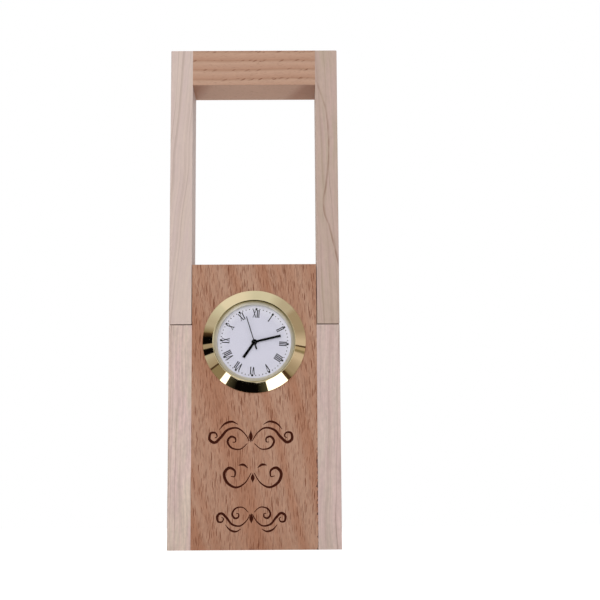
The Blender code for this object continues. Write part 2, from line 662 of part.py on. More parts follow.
def make_motion_work(axes, places):
    """Minute pipe, motion wheel, hour wheel, and the shaft and knob that set them."""
    cannon_module = module_of(MOTION_DISTANCE, CANNON_LEAVES, MOTION_TEETH)
    hour_module = module_of(MOTION_DISTANCE, MOTION_LEAVES, HOUR_TEETH)

    collar_front = layer_front(CENTRE_LAYER) - WHEEL_THICKNESS - PRESS_FIT
    collar_back = collar_front - COLLAR_THICKNESS
    pipe = rod(MINUTE_PIPE, collar_back, MINUTE_HAND_FACE)
    collar = rod(COLLAR_RADIUS, collar_back, collar_front)
    leaves = gear_at_layer(CANNON_LEAVES, cannon_module, 0, MOTION_LAYER, PINION_OVERHANG)
    bore = rod(MINUTE_BORE, BRIDGE_BACK, BEZEL_RADIUS)
    arbor_piece("minute_pipe", axes["minute"], BRASS, [pipe, leaves, collar], bore)
    spring_middle = layer_front(CENTRE_LAYER) + LAYER_GAP / 2
    spring = tube(CLUTCH_INNER, CLUTCH_OUTER, spring_middle - CLUTCH_THICKNESS / 2,
                  spring_middle + CLUTCH_THICKNESS / 2)
    piece_from("clutch_spring", spring, BRASS, axes["minute"])

    phase = meshed_phase(MOTION_BEARING, 0, CANNON_LEAVES, MOTION_TEETH)
    wheel = gear_at_layer(MOTION_TEETH, cannon_module, phase, MOTION_LAYER)
    leaves_front = PLATE_BACK - SEAT_GAP
    leaves = prism(gear_outline(MOTION_LEAVES, hour_module, 0),
                   layer_front(MOTION_LAYER) - WHEEL_THICKNESS / 2, leaves_front)
    bore = rod(POST_RADIUS + RUN_FIT, BRIDGE_BACK, 0)
    arbor_piece("motion_wheel", axes["motion"], WHITE_PLASTIC, [wheel, leaves], bore)

    to_setting = places["setting"] - places["motion"]
    setting_bearing = atan2(to_setting.y, to_setting.x)
    setting_phase = meshed_phase(setting_bearing, phase, MOTION_TEETH, SETTING_LEAVES)
    leaves = gear_at_layer(SETTING_LEAVES, cannon_module, setting_phase, MOTION_LAYER,
                           PINION_OVERHANG)
    shaft = rod(SETTING_SHAFT_RADIUS, KNOB_BACK + SEAT_GAP, ARBOR_FRONT, FINE_STEPS)
    arbor_piece("setting_shaft", axes["setting"], WHITE_PLASTIC, [shaft, leaves])

    quarter = tau / KNOB_RIBS / 4
    valley = KNOB_RADIUS - KNOB_RIB_DEPTH
    corners = ((valley, -1), (KNOB_RADIUS, -0.6), (KNOB_RADIUS, 0.6), (valley, 1))
    outline = [polar(radius, rib * tau / KNOB_RIBS + share * quarter)
               for rib in range(KNOB_RIBS) for radius, share in corners]
    knob = piece_from("setting_knob", prism(outline, KNOB_BACK, KNOB_FRONT), BLACK_PLASTIC,
                      axes["setting"])
    combine(knob, rod(SETTING_SHAFT_RADIUS + PRESS_FIT, 2 * KNOB_BACK, 0, FINE_STEPS), "DIFFERENCE")

    phase = meshed_phase(MOTION_BEARING + pi, 0, MOTION_LEAVES, HOUR_TEETH)
    wheel = gear_at_layer(HOUR_TEETH, hour_module, phase, HOUR_LAYER)
    pipe = rod(HOUR_PIPE, layer_front(HOUR_LAYER) - WHEEL_THICKNESS, HOUR_HAND_FACE)
    bore = rod(HOUR_BORE, BRIDGE_BACK, BEZEL_RADIUS)
    arbor_piece("hour_wheel", axes["hour"], WHITE_PLASTIC, [wheel, pipe], bore)


# Case and what is fixed in it


def make_case(insert, places):
    """Front shell with its plate, posts and pivot holes; the lid; the rubber band."""
    band_back = BAND_FRONT - BAND_WIDTH
    groove = CASE_RADIUS - BAND_GROOVE
    profile = [(CENTRE_HOLE, PLATE_FRONT), (CENTRE_HOLE, PLATE_BACK), (CASE_INNER, PLATE_BACK),
               (CASE_INNER, -CASE_DEPTH), (CASE_RADIUS, -CASE_DEPTH),
               (CASE_RADIUS, band_back - SEAT_GAP), (groove, band_back - SEAT_GAP),
               (groove, BAND_FRONT + SEAT_GAP), (CASE_RADIUS, BAND_FRONT + SEAT_GAP),
               (CASE_RADIUS, PLATE_FRONT)]
    case = piece_from("case_front", turned(profile, HIDDEN_STEPS), BLACK_PLASTIC, insert)
    inside_plate = (PLATE_FRONT + PLATE_BACK) / 2
    for bearing in SCREW_BEARINGS:
        place = (*polar(POST_CIRCLE, bearing), 0)
        post = tube(SCREW_RADIUS + PRESS_FIT, SCREW_POST_RADIUS, BRIDGE_FRONT, inside_plate,
                    FINE_STEPS)
        combine(case, post, "UNION", place)
    motion_post_back = layer_front(MOTION_LAYER) - WHEEL_THICKNESS - LAYER_GAP / 2
    combine(case, rod(POST_RADIUS, motion_post_back, inside_plate, FINE_STEPS), "UNION",
            (*places["motion"], 0))
    for name, radius in (("third", ARBOR_RADIUS), ("step", ARBOR_RADIUS),
                         ("rotor", ROTOR_ARBOR_RADIUS), ("setting", SETTING_SHAFT_RADIUS)):
        hole = rod(radius + RUN_FIT, BRIDGE_BACK, PLATE_BACK + PIVOT_DEPTH, FINE_STEPS)
        combine(case, hole, "DIFFERENCE", (*places[name], 0))

    ridge = BORE_RADIUS - BAND_AIR
    pitch = BAND_WIDTH / BAND_RIDGES
    outside = []
    for number in range(BAND_RIDGES):
        low = band_back + number * pitch
        outside += [(ridge - BAND_VALLEY, low), (ridge, low + pitch / 2)]
    outside.append((ridge - BAND_VALLEY, BAND_FRONT))
    profile = [(groove + PRESS_FIT, band_back)] + outside + [(groove + PRESS_FIT, BAND_FRONT)]
    piece_from("friction_band", turned(profile, HIDDEN_STEPS), RUBBER, insert)

    lip_outer = CASE_INNER - SEAT_GAP
    lip_inner = lip_outer - LID_LIP_WALL
    profile = [(0, LID_BACK), (CASE_RADIUS, LID_BACK), (CASE_RADIUS, LID_FRONT),
               (lip_outer, LID_FRONT), (lip_outer, LID_FRONT + LID_LIP_DEPTH),
               (lip_inner, LID_FRONT + LID_LIP_DEPTH), (lip_inner, LID_FRONT), (0, LID_FRONT)]
    lid = piece_from("case_back", turned(profile, HIDDEN_STEPS), BLACK_PLASTIC, insert)
    hole = rod(SETTING_SHAFT_RADIUS + RUN_FIT, 2 * LID_BACK, 0, FINE_STEPS)
    combine(lid, hole, "DIFFERENCE", (*places["setting"], 0))


def make_bridge(insert, places):
    """Round bridge plate that carries the back pivots, and its three screws."""
    plate = rod(CASE_INNER - 3 * SEAT_GAP, BRIDGE_BACK, BRIDGE_FRONT, HIDDEN_STEPS)
    bridge = piece_from("train_bridge", plate, WHITE_PLASTIC, insert)
    bearings = (("seconds", SECONDS_ARBOR_RADIUS), ("third", ARBOR_RADIUS),
                ("step", ARBOR_RADIUS), ("rotor", ROTOR_ARBOR_RADIUS),
                ("setting", SETTING_SHAFT_RADIUS))
    for name, radius in bearings:
        hole = rod(radius + RUN_FIT, 2 * BRIDGE_BACK, 0, FINE_STEPS)
        combine(bridge, hole, "DIFFERENCE", (*places[name], 0))
    cell_hole = rod(CELL_RADIUS + 3 * SEAT_GAP, 2 * BRIDGE_BACK, 0, PIN_STEPS)
    combine(bridge, cell_hole, "DIFFERENCE", (*CELL_PLACE, 0))
    for number, bearing in enumerate(SCREW_BEARINGS, 1):
        place = (*polar(POST_CIRCLE, bearing), 0)
        hole = rod(SCREW_RADIUS + RUN_FIT, 2 * BRIDGE_BACK, 0, FINE_STEPS)
        combine(bridge, hole, "DIFFERENCE", place)
        head_back = BRIDGE_BACK - SCREW_HEAD_HEIGHT
        profile = [(0, head_back), (SCREW_HEAD_RADIUS, head_back),
                   (SCREW_HEAD_RADIUS, BRIDGE_BACK), (SCREW_RADIUS, BRIDGE_BACK),
                   (SCREW_RADIUS, BRIDGE_BACK + SCREW_LENGTH), (0, BRIDGE_BACK + SCREW_LENGTH)]
        screw = piece_from("bridge_screw_" + str(number), turned(profile, FINE_STEPS), STEEL, insert,
                           place)
        slot = box((3 * SCREW_HEAD_RADIUS, SCREW_SLOT_WIDTH, 2 * SCREW_SLOT_DEPTH),
                   (0, 0, head_back))
        combine(screw, slot, "DIFFERENCE")


def make_motor(insert, places):
    """Stator plate round the rotor, with the coil across its two arms."""
    rotor = places["rotor"]
    outward = atan2(rotor.y, rotor.x)
    motor = empty_at("motor_axis", (*rotor, 0), (0, 0, outward), insert)
    stator_front = layer_front(THIRD_LAYER) - SEAT_GAP
    stator_back = stator_front - STATOR_THICKNESS
    hole_radius = MAGNET_RADIUS + STATOR_HOLE_AIR
    half_arm = STATOR_ARM_WIDTH / 2
    tip = COIL_OFFSET + CORE_WIDTH / 2
    span = STATOR_HALF_SPAN
    outline = [(-half_arm, -span), (tip, -span), (tip, -span + STATOR_ARM_WIDTH),
               (half_arm, -span + STATOR_ARM_WIDTH), (half_arm, span - STATOR_ARM_WIDTH),
               (tip, span - STATOR_ARM_WIDTH), (tip, span), (-half_arm, span)]
    stator = piece_from("stator_plate", prism(outline, stator_back, stator_front), STEEL, motor)
    combine(stator, rod(hole_radius + STATOR_RIM, stator_back, stator_front, PIN_STEPS), "UNION")
    combine(stator, rod(hole_radius, 2 * stator_back, 0, PIN_STEPS), "DIFFERENCE")

    core_back = stator_front
    core_front = core_back + CORE_THICKNESS
    core_middle = (core_back + core_front) / 2
    core = box((CORE_WIDTH, 2 * span, CORE_THICKNESS), (COIL_OFFSET, 0, core_middle))
    piece_from("coil_core", core, STEEL, motor)

    window = (CORE_WIDTH + 2 * SEAT_GAP, 3 * span, CORE_THICKNESS + 2 * SEAT_GAP)
    along_y = (pi / 2, 0, 0)
    half = span - STATOR_ARM_WIDTH - 2 * SEAT_GAP
    profile = [(0, -half), (FLANGE_RADIUS, -half), (FLANGE_RADIUS, -half + FLANGE_THICKNESS),
               (BOBBIN_RADIUS, -half + FLANGE_THICKNESS), (BOBBIN_RADIUS, half - FLANGE_THICKNESS),
               (FLANGE_RADIUS, half - FLANGE_THICKNESS), (FLANGE_RADIUS, half), (0, half)]
    coil_place = (COIL_OFFSET, 0, core_middle)
    bobbin = piece_from("coil_bobbin", turned(profile, SMALL_STEPS), WHITE_PLASTIC, motor,
                        coil_place, along_y)
    combine(bobbin, box((window[0], window[2], window[1]), (0, 0, 0)), "DIFFERENCE")
    reach = half - FLANGE_THICKNESS - PRESS_FIT
    winding = tube(BOBBIN_RADIUS + PRESS_FIT, WINDING_RADIUS, -reach, reach)
    piece_from("coil_winding", winding, COPPER, motor, coil_place, along_y)


def make_circuit(insert, places):
    """Circuit board, quartz can, chip, button cell and its two contacts."""
    sweep = [CIRCUIT_START + (CIRCUIT_END - CIRCUIT_START) * step / PIN_STEPS
             for step in range(PIN_STEPS + 1)]
    outline = [polar(CIRCUIT_OUTER, angle) for angle in sweep]
    outline += [polar(CIRCUIT_INNER, angle) for angle in reversed(sweep)]
    board = piece_from("circuit_board", prism(outline, CIRCUIT_BACK, CIRCUIT_FRONT), FIBRE, insert)
    passing = [(places["third"], ARBOR_RADIUS), (places["setting"], SETTING_SHAFT_RADIUS)]
    for bearing in (SCREW_BEARINGS[0], SCREW_BEARINGS[2]):
        passing.append((polar(POST_CIRCLE, bearing), SCREW_POST_RADIUS))
    for place, radius in passing:
        hole = rod(radius + CIRCUIT_HOLE_AIR, 2 * BRIDGE_BACK, 0, FINE_STEPS)
        combine(board, hole, "DIFFERENCE", (*place, 0))

    can = upright(rod(CAN_RADIUS, -CAN_LENGTH / 2, CAN_LENGTH / 2, FINE_STEPS))
    piece_from("quartz_can", can, STEEL, insert,
               (*CAN_PLACE, CIRCUIT_FRONT + PRESS_FIT + CAN_RADIUS))
    base = CIRCUIT_FRONT + PRESS_FIT
    dome = [(CHIP_RADIUS * cos(step * pi / 8), base + CHIP_HEIGHT * sin(step * pi / 8))
            for step in range(5)]
    chip = turned([(0, base)] + dome[:-1] + [(0, base + CHIP_HEIGHT)], SMALL_STEPS)
    piece_from("timing_chip", chip, BLACK_PLASTIC, insert, (*CHIP_PLACE, 0))

    cell_front = CELL_BACK + CELL_HEIGHT
    profile = [(0, CELL_BACK), (CELL_RADIUS, CELL_BACK), (CELL_RADIUS, cell_front - CELL_STEP),
               (CELL_RADIUS - 2 * CELL_STEP, cell_front - CELL_STEP),
               (CELL_RADIUS - 2 * CELL_STEP, cell_front), (0, cell_front)]
    piece_from("button_cell", turned(profile, PIN_STEPS), STEEL, insert, (*CELL_PLACE, 0))

    half = CONTACT_WIDTH / 2
    strip_front = cell_front + SEAT_GAP + CONTACT_THICKNESS
    strip_back = strip_front - CONTACT_THICKNESS
    foot = CIRCUIT_FRONT + PRESS_FIT
    shape = prism([(-half, strip_front), (-half, strip_back),
                   (MINUS_RUN - CONTACT_THICKNESS, strip_back),
                   (MINUS_RUN - CONTACT_THICKNESS, foot), (MINUS_RUN, foot),
                   (MINUS_RUN, strip_front)], -half, half)
    stand_up(shape)
    piece_from("minus_contact", shape, STEEL, insert, (*CELL_PLACE, 0), (0, 0, MINUS_BEARING))

    start = CELL_RADIUS + SEAT_GAP
    run = start + PLUS_RUN
    shape = prism([(start, PLUS_TAB_FRONT), (start, foot), (run, foot),
                   (run, foot + CONTACT_THICKNESS),
                   (start + CONTACT_THICKNESS, foot + CONTACT_THICKNESS),
                   (start + CONTACT_THICKNESS, PLUS_TAB_FRONT)], -half, half)
    stand_up(shape)
    piece_from("plus_contact", shape, STEEL, insert, (*CELL_PLACE, 0), (0, 0, PLUS_BEARING))


def stand_up(shape):
    """Turn a prism drawn as a side view in x and y so that its y becomes height."""
    bmesh.ops.rotate(shape, cent=(0, 0, 0), matrix=Matrix.Rotation(pi / 2, 3, "X"),
                     verts=shape.verts)


def main():
    """Build the whole clock."""
    for old in list(bpy.data.objects):
        bpy.data.objects.remove(old, do_unlink=True)

    make_panel()
    make_rails()
    fold_axis = empty_at("fold_axis", PIVOT)
    make_frame(fold_axis)
    make_pins(fold_axis)

    step_place = polar(STEP_DISTANCE, STEP_BEARING)
    motion_place = polar(MOTION_DISTANCE, MOTION_BEARING)
    setting_module = module_of(MOTION_DISTANCE, CANNON_LEAVES, MOTION_TEETH)
    setting_distance = setting_module * (MOTION_TEETH + SETTING_LEAVES) / 2
    centre = Vector((0, 0))
    places = {
        "seconds": centre, "minute": centre, "hour": centre, "centre": centre,
        "third": polar(THIRD_DISTANCE, THIRD_BEARING),
        "step": step_place,
        "rotor": step_place + polar(ROTOR_DISTANCE, ROTOR_BEARING),
        "motion": motion_place,
        "setting": motion_place + polar(setting_distance, SETTING_BEARING),
    }
    insert = empty_at("insert_axis", (0, -HALF_THICKNESS, CLOCK_HEIGHT), (pi / 2, DIAL_TILT, 0))
    axes = {name: empty_at(name + "_axis", (*place, 0), parent=insert)
            for name, place in places.items()}

    make_bezel(insert)
    make_dial(insert)
    make_hands(axes["seconds"], axes["minute"], axes["hour"])
    make_train(axes, places)
    make_motion_work(axes, places)
    make_case(insert, places)
    make_bridge(insert, places)
    make_motor(insert, places)
    make_circuit(insert, places)
    settle()


main()
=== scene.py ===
"""Looks of the wooden pen holder clock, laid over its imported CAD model.

The lower half is a beech panel between two pale rails, and the folding frame above it has
pale arms and a beech bar. A brass-rimmed quartz insert sits in the panel's face.
"""

import json
from math import cos, pi, radians, sin, tau

import bmesh
import bpy
from mathutils import Matrix, Vector


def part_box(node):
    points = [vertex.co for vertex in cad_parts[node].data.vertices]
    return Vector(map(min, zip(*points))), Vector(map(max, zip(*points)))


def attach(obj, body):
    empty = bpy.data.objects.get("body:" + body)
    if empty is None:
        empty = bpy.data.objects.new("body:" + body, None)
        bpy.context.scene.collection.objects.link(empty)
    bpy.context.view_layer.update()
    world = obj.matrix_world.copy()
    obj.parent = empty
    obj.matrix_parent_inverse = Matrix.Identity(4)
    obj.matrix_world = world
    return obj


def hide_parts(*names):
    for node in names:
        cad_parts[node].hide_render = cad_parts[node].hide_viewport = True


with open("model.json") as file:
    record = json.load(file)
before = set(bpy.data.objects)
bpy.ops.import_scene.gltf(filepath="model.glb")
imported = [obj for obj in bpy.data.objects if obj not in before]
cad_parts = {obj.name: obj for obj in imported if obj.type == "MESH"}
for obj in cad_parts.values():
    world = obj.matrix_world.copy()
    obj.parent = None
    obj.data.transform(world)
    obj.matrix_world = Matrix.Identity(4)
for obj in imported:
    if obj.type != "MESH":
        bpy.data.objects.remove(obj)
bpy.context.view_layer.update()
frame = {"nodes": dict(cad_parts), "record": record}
nodes = frame["nodes"]

MM = 0.001

# The board, as part.py builds it
PANEL_WIDTH = 44.2 * MM
BOARD_THICKNESS = 18.0 * MM
FRONT = -BOARD_THICKNESS / 2
PIN_HEIGHT = 89.5 * MM
PIN_BACK = 4.0 * MM
PIN_REACH = 10.3 * MM
PIN_HOLE = 1.55 * MM
EDGE_ROUND = 0.2 * MM

# The clock insert: its middle on the panel's face, and its clockwise tilt. INSERT places
# points that are given from its middle, with z out of the panel.
CLOCK_HEIGHT = 72.5 * MM
BORE_RADIUS = 17.5 * MM
BORE_DEPTH = 10.35 * MM
DIAL_TILT = radians(3.75)
DIAL_FACE = -1.2 * MM
DIAL_BACK = -1.5 * MM
DIAL_RADIUS = 13.75 * MM
DIAL_HOLE = 0.95 * MM
INSERT = Matrix((
    (cos(DIAL_TILT), sin(DIAL_TILT), 0, 0),
    (0, 0, -1, FRONT),
    (-sin(DIAL_TILT), cos(DIAL_TILT), 0, CLOCK_HEIGHT),
    (0, 0, 0, 1),
))


# Small tools


def linear(colour):
    """An sRGB hex colour such as "#A77F69" as the linear RGBA that a socket takes."""
    parts = [int(colour[i:i + 2], 16) / 255 for i in (1, 3, 5)]
    return tuple(c / 12.92 if c <= 0.04045 else ((c + 0.055) / 1.055) ** 2.4
                 for c in parts) + (1.0,)


def add(tree, kind, feeds=(), **settings):
    """Add a shader node with its settings.

    feeds gives a socket its value, a hex colour, or the node or output that links to it.
    """
    node = tree.nodes.new("ShaderNode" + kind)
    for name, value in settings.items():
        setattr(node, name, value)
    for socket, value in dict(feeds).items():
        if isinstance(value, bpy.types.Node):
            value = value.outputs[0]
        if isinstance(value, bpy.types.NodeSocket):
            tree.links.new(value, node.inputs[socket])
        else:
            node.inputs[socket].default_value = linear(value) if isinstance(value, str) else value
    return node


def new_material(name):
    """An empty material and its node tree."""
    material = bpy.data.materials.new(name)
    material.use_nodes = True
    material.node_tree.nodes.clear()
    return material, material.node_tree


def surface(tree, colour, roughness, height, depth, **constants):
    """Close a tree with a Principled shader, bumped by a height of 0 to 1, depth in metres.

    constants are sockets that are the same all over, with _ for a space in their names.
    """
    relief = add(tree, "Bump", {"Height": height, "Distance": depth})
    feeds = {"Base Color": colour, "Roughness": roughness, "Normal": relief}
    feeds.update({name.replace("_", " "): value for name, value in constants.items()})
    return add(tree, "OutputMaterial", {"Surface": add(tree, "BsdfPrincipled", feeds)})


def millimetres(tree):
    """The piece's own coordinates in millimetres, which stay with it as it moves."""
    place = add(tree, "TexCoord").outputs["Object"]
    return add(tree, "VectorMath", {0: place, "Scale": 1000.0}, operation="SCALE")


def object_from(name, shape, material=None):
    """Make an object of a bmesh, which is used up."""
    mesh = bpy.data.meshes.new(name)
    shape.to_mesh(mesh)
    shape.free()
    if material:
        mesh.materials.append(material)
    made = bpy.data.objects.new(name, mesh)
    bpy.context.scene.collection.objects.link(made)
    return made


def shade(piece, sharp):
    """Shade a piece smooth, but for edges that turn by more than sharp degrees."""
    piece.data.shade_smooth()
    piece.data.set_sharp_from_angle(angle=radians(sharp))


def piece_from(name, shape, material, body, sharp=35):
    """Make a piece of a bmesh that rides on its body."""
    piece = object_from(name, shape, material)
    shade(piece, sharp)
    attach(piece, body)
    return piece


def turned(profile, steps, matrix=INSERT):
    """Turn a closed profile of (radius, height) round the insert's axis."""
    shape = bmesh.new()
    rings = []
    for radius, height in profile:
        rings.append([shape.verts.new(matrix @ Vector((radius * cos(tau * i / steps),
                                                       radius * sin(tau * i / steps), height)))
                      for i in range(steps)])
    for ring, after in zip(rings, rings[1:] + rings[:1]):
        for i in range(steps):
            j = (i + 1) % steps
            shape.faces.new((ring[i], ring[j], after[j], after[i]))
    bmesh.ops.recalc_face_normals(shape, faces=shape.faces)
    return shape


def slab(shape, outline, low, high, matrix=INSERT):
    """Add a flat plate with that outline (x, y) between two heights to a bmesh."""
    rings = [[shape.verts.new(matrix @ Vector((x, y, z))) for x, y in outline]
             for z in (low, high)]
    shape.faces.new(rings[0][::-1])
    shape.faces.new(rings[1])
    count = len(outline)
    for i in range(count):
        j = (i + 1) % count
        shape.faces.new((rings[0][i], rings[0][j], rings[1][j], rings[1][i]))


# Finishes


def grain_space(tree, along, bend, lean=0.0):
    """Millimetres across the grain, through the board and along the grain.

    bend is how far the fibres wander from straight, in mm over some 30 mm of their length,
    and lean is how far they lean over in each mm.
    """
    axes = {"Z": ("X", "Y", "Z"), "X": ("Z", "Y", "X")}[along]
    place = add(tree, "SeparateXYZ", {0: millimetres(tree)})
    across, through, length = (place.outputs[axis] for axis in axes)
    leaning = add(tree, "Math", {0: length, 1: lean, 2: across}, operation="MULTIPLY_ADD")
    straight = add(tree, "CombineXYZ", {0: leaning, 1: through, 2: length})
    slow = add(tree, "VectorMath", {0: straight, 1: (0.06, 0.06, 0.033)}, operation="MULTIPLY")
    drift = add(tree, "TexNoise", {"Vector": slow, "Scale": 1.0, "Detail": 1.5})
    return add(tree, "VectorMath", {0: drift.outputs["Color"], 1: (bend, bend, 0.0),
                                    2: straight}, operation="MULTIPLY_ADD")


def fibres(tree, grain, across, along, detail=3.0, rough=0.6):
    """Streaks some mm wide across the grain and some mm long along it, 0 to 1."""
    scaled = add(tree, "VectorMath", {0: grain, 1: (1 / across, 1 / across, 1 / along)},
                 operation="MULTIPLY")
    return add(tree, "TexNoise", {"Vector": scaled, "Scale": 1.0, "Detail": detail,
                                  "Roughness": rough})


def streaked(tree, colour, streak, speck, contrast):
    """Make a colour darker and lighter along its fibres, by up to contrast."""
    tone = add(tree, "Math", {0: speck, 1: 0.5, 2: streak}, operation="MULTIPLY_ADD")
    level = add(tree, "MapRange", {0: tone, 1: 0.45, 2: 1.05, 3: 1 - contrast, 4: 1 + contrast})
    return add(tree, "MixRGB", {0: 1.0, 1: colour, 2: level}, blend_type="MULTIPLY")


def growth(tree, grain, pith, taper):
    """Distance from the tree's pith in mm, so that cut rings show as long leaning arches."""
    offset = add(tree, "VectorMath", {0: grain, 1: pith}, operation="SUBTRACT")
    flat = add(tree, "VectorMath", {0: offset, 1: (1.0, 1.0, 0.0)}, operation="MULTIPLY")
    radius = add(tree, "VectorMath", {0: flat}, operation="LENGTH").outputs["Value"]
    height = add(tree, "SeparateXYZ", {0: grain}).outputs["Z"]
    return add(tree, "Math", {0: height, 1: taper, 2: radius}, operation="MULTIPLY_ADD")


def aslant(tree, place, slope):
    """Place across the board in mm, which slope moves over in each mm behind its front."""
    parts = add(tree, "SeparateXYZ", {0: place})
    behind = add(tree, "Math", {0: parts.outputs["Y"], 1: FRONT / MM}, operation="SUBTRACT")
    return add(tree, "Math", {0: behind, 1: slope, 2: parts}, operation="MULTIPLY_ADD")


def rays(tree, grain, width, length, strength, share):
    """Beech's wood rays: short dark dashes along the grain, at most width and length in mm.

    share is the part of the places for a dash that have one. They stand aslant in the board,
    so that its sides show them too. Each fills the middle of a cell of a pattern, and reach is
    how far the largest goes from that middle, in cells, so that it stays clear of the next.
    """
    reach = 0.46
    parts = add(tree, "SeparateXYZ", {0: grain})
    across = add(tree, "Math", {0: aslant(tree, grain, 0.5), 1: 2 * reach / width},
                 operation="MULTIPLY")
    column = add(tree, "Math", {0: across}, operation="FLOOR")
    step = add(tree, "TexWhiteNoise", {"W": column}, noise_dimensions="1D")
    along = add(tree, "Math", {0: parts.outputs["Z"], 1: 2 * reach / length, 2: step},
                operation="MULTIPLY_ADD")
    place = add(tree, "CombineXYZ", {0: across, 1: along})
    cells = add(tree, "TexVoronoi", {"Vector": place, "Scale": 1.0}, voronoi_dimensions="2D")
    chance = add(tree, "SeparateColor", {0: cells.outputs["Color"]})
    size = add(tree, "MapRange", {0: chance, 3: reach * 0.4, 4: reach})
    core = add(tree, "Math", {0: size, 1: 0.75}, operation="MULTIPLY")
    there = add(tree, "MapRange", {0: chance.outputs[1], 1: 1 - share, 2: 1.02 - share})
    tone = add(tree, "MapRange", {0: chance.outputs[2], 3: strength * 0.4, 4: strength})
    depth = add(tree, "Math", {0: there, 1: tone}, operation="MULTIPLY")
    return add(tree, "MapRange", {0: cells, 1: core, 2: size, 3: depth, 4: 0.0})


def beech_panel():
    """Planed beech: warm brown in leaning zones 8 mm wide, with its rays as short dark dashes.

    The rays are 0.1 to 0.2 mm wide in the wood, and drawn up to twice as wide to show.
    """
    material, tree = new_material("planed_beech")
    grain = grain_space(tree, "Z", 2.5, 0.01)
    rings = growth(tree, grain, (-36.0, 16.0, 0.0), 0.22)
    years = add(tree, "Math", {0: rings, 1: 0.12}, operation="MULTIPLY")
    zones = add(tree, "TexNoise", {"W": years, "Scale": 1.0, "Detail": 2.0},
                noise_dimensions="1D")
    zone = add(tree, "MapRange", {0: zones, 1: 0.38, 2: 0.62})
    colour = add(tree, "MixRGB", {0: zone, 1: "#AA795F", 2: "#B58D76"})
    year = add(tree, "Math", {0: years, 1: 0.9, 2: zones}, operation="MULTIPLY_ADD")
    early = add(tree, "Math", {0: year}, operation="FRACT")
    line = add(tree, "MapRange", {0: early, 1: 0.0, 2: 0.1, 3: 0.18, 4: 0.0})
    colour = add(tree, "MixRGB", {0: line, 1: colour, 2: "#CBA48B"})
    fibre = fibres(tree, grain, 0.55, 6.0)
    colour = streaked(tree, colour, fibre, fibres(tree, grain, 0.5, 2.0, 1.0), 0.13)
    small = rays(tree, grain, 0.25, 2.4, 0.8, 0.42)
    dashes = rays(tree, grain, 0.3, 4.6, 1.0, 0.34)
    colour = add(tree, "MixRGB", {0: small, 1: colour, 2: "#8A553B"})
    colour = add(tree, "MixRGB", {0: dashes, 1: colour, 2: "#6E3418"})
    height = add(tree, "Math", {0: fibre, 1: dashes}, operation="SUBTRACT")
    gloss = add(tree, "MapRange", {0: fibre, 3: 0.46, 4: 0.64})
    surface(tree, glue_line(tree, colour), gloss, height, 0.00004, Specular_IOR_Level=0.25)
    return material


def glue_line(tree, colour):
    """Dark glue in the joint at the panel's right edge, ragged every mm, faint above 50 mm."""
    place = millimetres(tree)
    parts = add(tree, "SeparateXYZ", {0: place})
    ragged = add(tree, "TexNoise", {"Vector": place, "Scale": 0.8, "Detail": 3.0})
    width = add(tree, "MapRange", {0: ragged, 1: 0.32, 2: 0.72, 3: -0.3, 4: 0.85})
    inside = add(tree, "Math", {0: PANEL_WIDTH / 2 / MM, 1: parts}, operation="SUBTRACT")
    near = add(tree, "Math", {0: width, 1: inside}, operation="SUBTRACT")
    blot = add(tree, "MapRange", {0: near, 1: 0.0, 2: 0.15})
    low = add(tree, "MapRange", {0: parts.outputs["Z"], 1: 20.0, 2: 52.0, 3: 0.9, 4: 0.15})
    mark = add(tree, "Math", {0: blot, 1: low}, operation="MULTIPLY")
    return add(tree, "MixRGB", {0: mark, 1: colour, 2: "#4E2F2B"})


# Where the bar's look changes from its front to its other sides, in mm through the board
BAR_FRONT = -8.9
BAR_SIDES = -8.2


def beech_bar():
    """Beech sawn across its rings: bands of one year each, darkest where a year ends.

    Oblique flecks of its rays stand in rows along the dark lines of its front. They are drawn
    up to 0.8 mm wide, some four times as wide as in the wood, to show.
    """
    year = 3.5
    material, tree = new_material("banded_beech")
    grain = grain_space(tree, "X", 1.6)
    fibre = fibres(tree, grain, 0.6, 7.0, 4.0, 0.7)
    across = add(tree, "SeparateXYZ", {0: grain})
    turns = add(tree, "Math", {0: across, 1: 1 / year, 2: 0.36}, operation="MULTIPLY_ADD")
    band = add(tree, "Math", {0: turns}, operation="FRACT")
    rise = add(tree, "MapRange", {0: band, 1: 0.0, 2: 0.1})
    fall = add(tree, "MapRange", {0: band, 1: 1.0, 2: 0.74})
    pale = add(tree, "Math", {0: rise, 1: fall}, operation="MINIMUM")
    colour = add(tree, "MixRGB", {0: band, 1: "#B58B74", 2: "#C3A08A"})
    colour = streaked(tree, colour, fibre, fibres(tree, grain, 0.5, 1.6, 1.0), 0.07)
    line = add(tree, "MapRange", {0: pale, 3: 0.75, 4: 0.0})
    colour = add(tree, "MixRGB", {0: line, 1: colour, 2: "#A47A61"})
    behind = add(tree, "SeparateXYZ", {0: millimetres(tree)}).outputs["Y"]
    # Painted shade: the bar's sides and underside browner at both ends, by the arms
    colour = painted_shade_ends(tree, colour, behind)
    slanting = grain_space(tree, "X", 0.0, -0.45)
    flecks = rays(tree, slanting, 0.8, 3.4, 1.0, 0.55)
    shown = add(tree, "MapRange", {0: behind, 1: BAR_FRONT, 2: BAR_SIDES, 3: 0.8, 4: 0.2})
    at_line = add(tree, "MapRange", {0: pale, 1: 0.9, 2: 0.4, 3: 0.0, 4: shown})
    flecks = add(tree, "Math", {0: flecks, 1: at_line}, operation="MULTIPLY")
    small = rays(tree, grain, 0.25, 1.6, 0.35, 0.3)
    colour = add(tree, "MixRGB", {0: small, 1: colour, 2: "#8A6048"})
    colour = add(tree, "MixRGB", {0: flecks, 1: colour, 2: "#7A4C34"})
    height = add(tree, "Math", {0: fibre, 1: flecks}, operation="SUBTRACT")
    gloss = add(tree, "MapRange", {0: fibre, 3: 0.46, 4: 0.64})
    surface(tree, colour, gloss, height, 0.00004, Specular_IOR_Level=0.25)
    return material


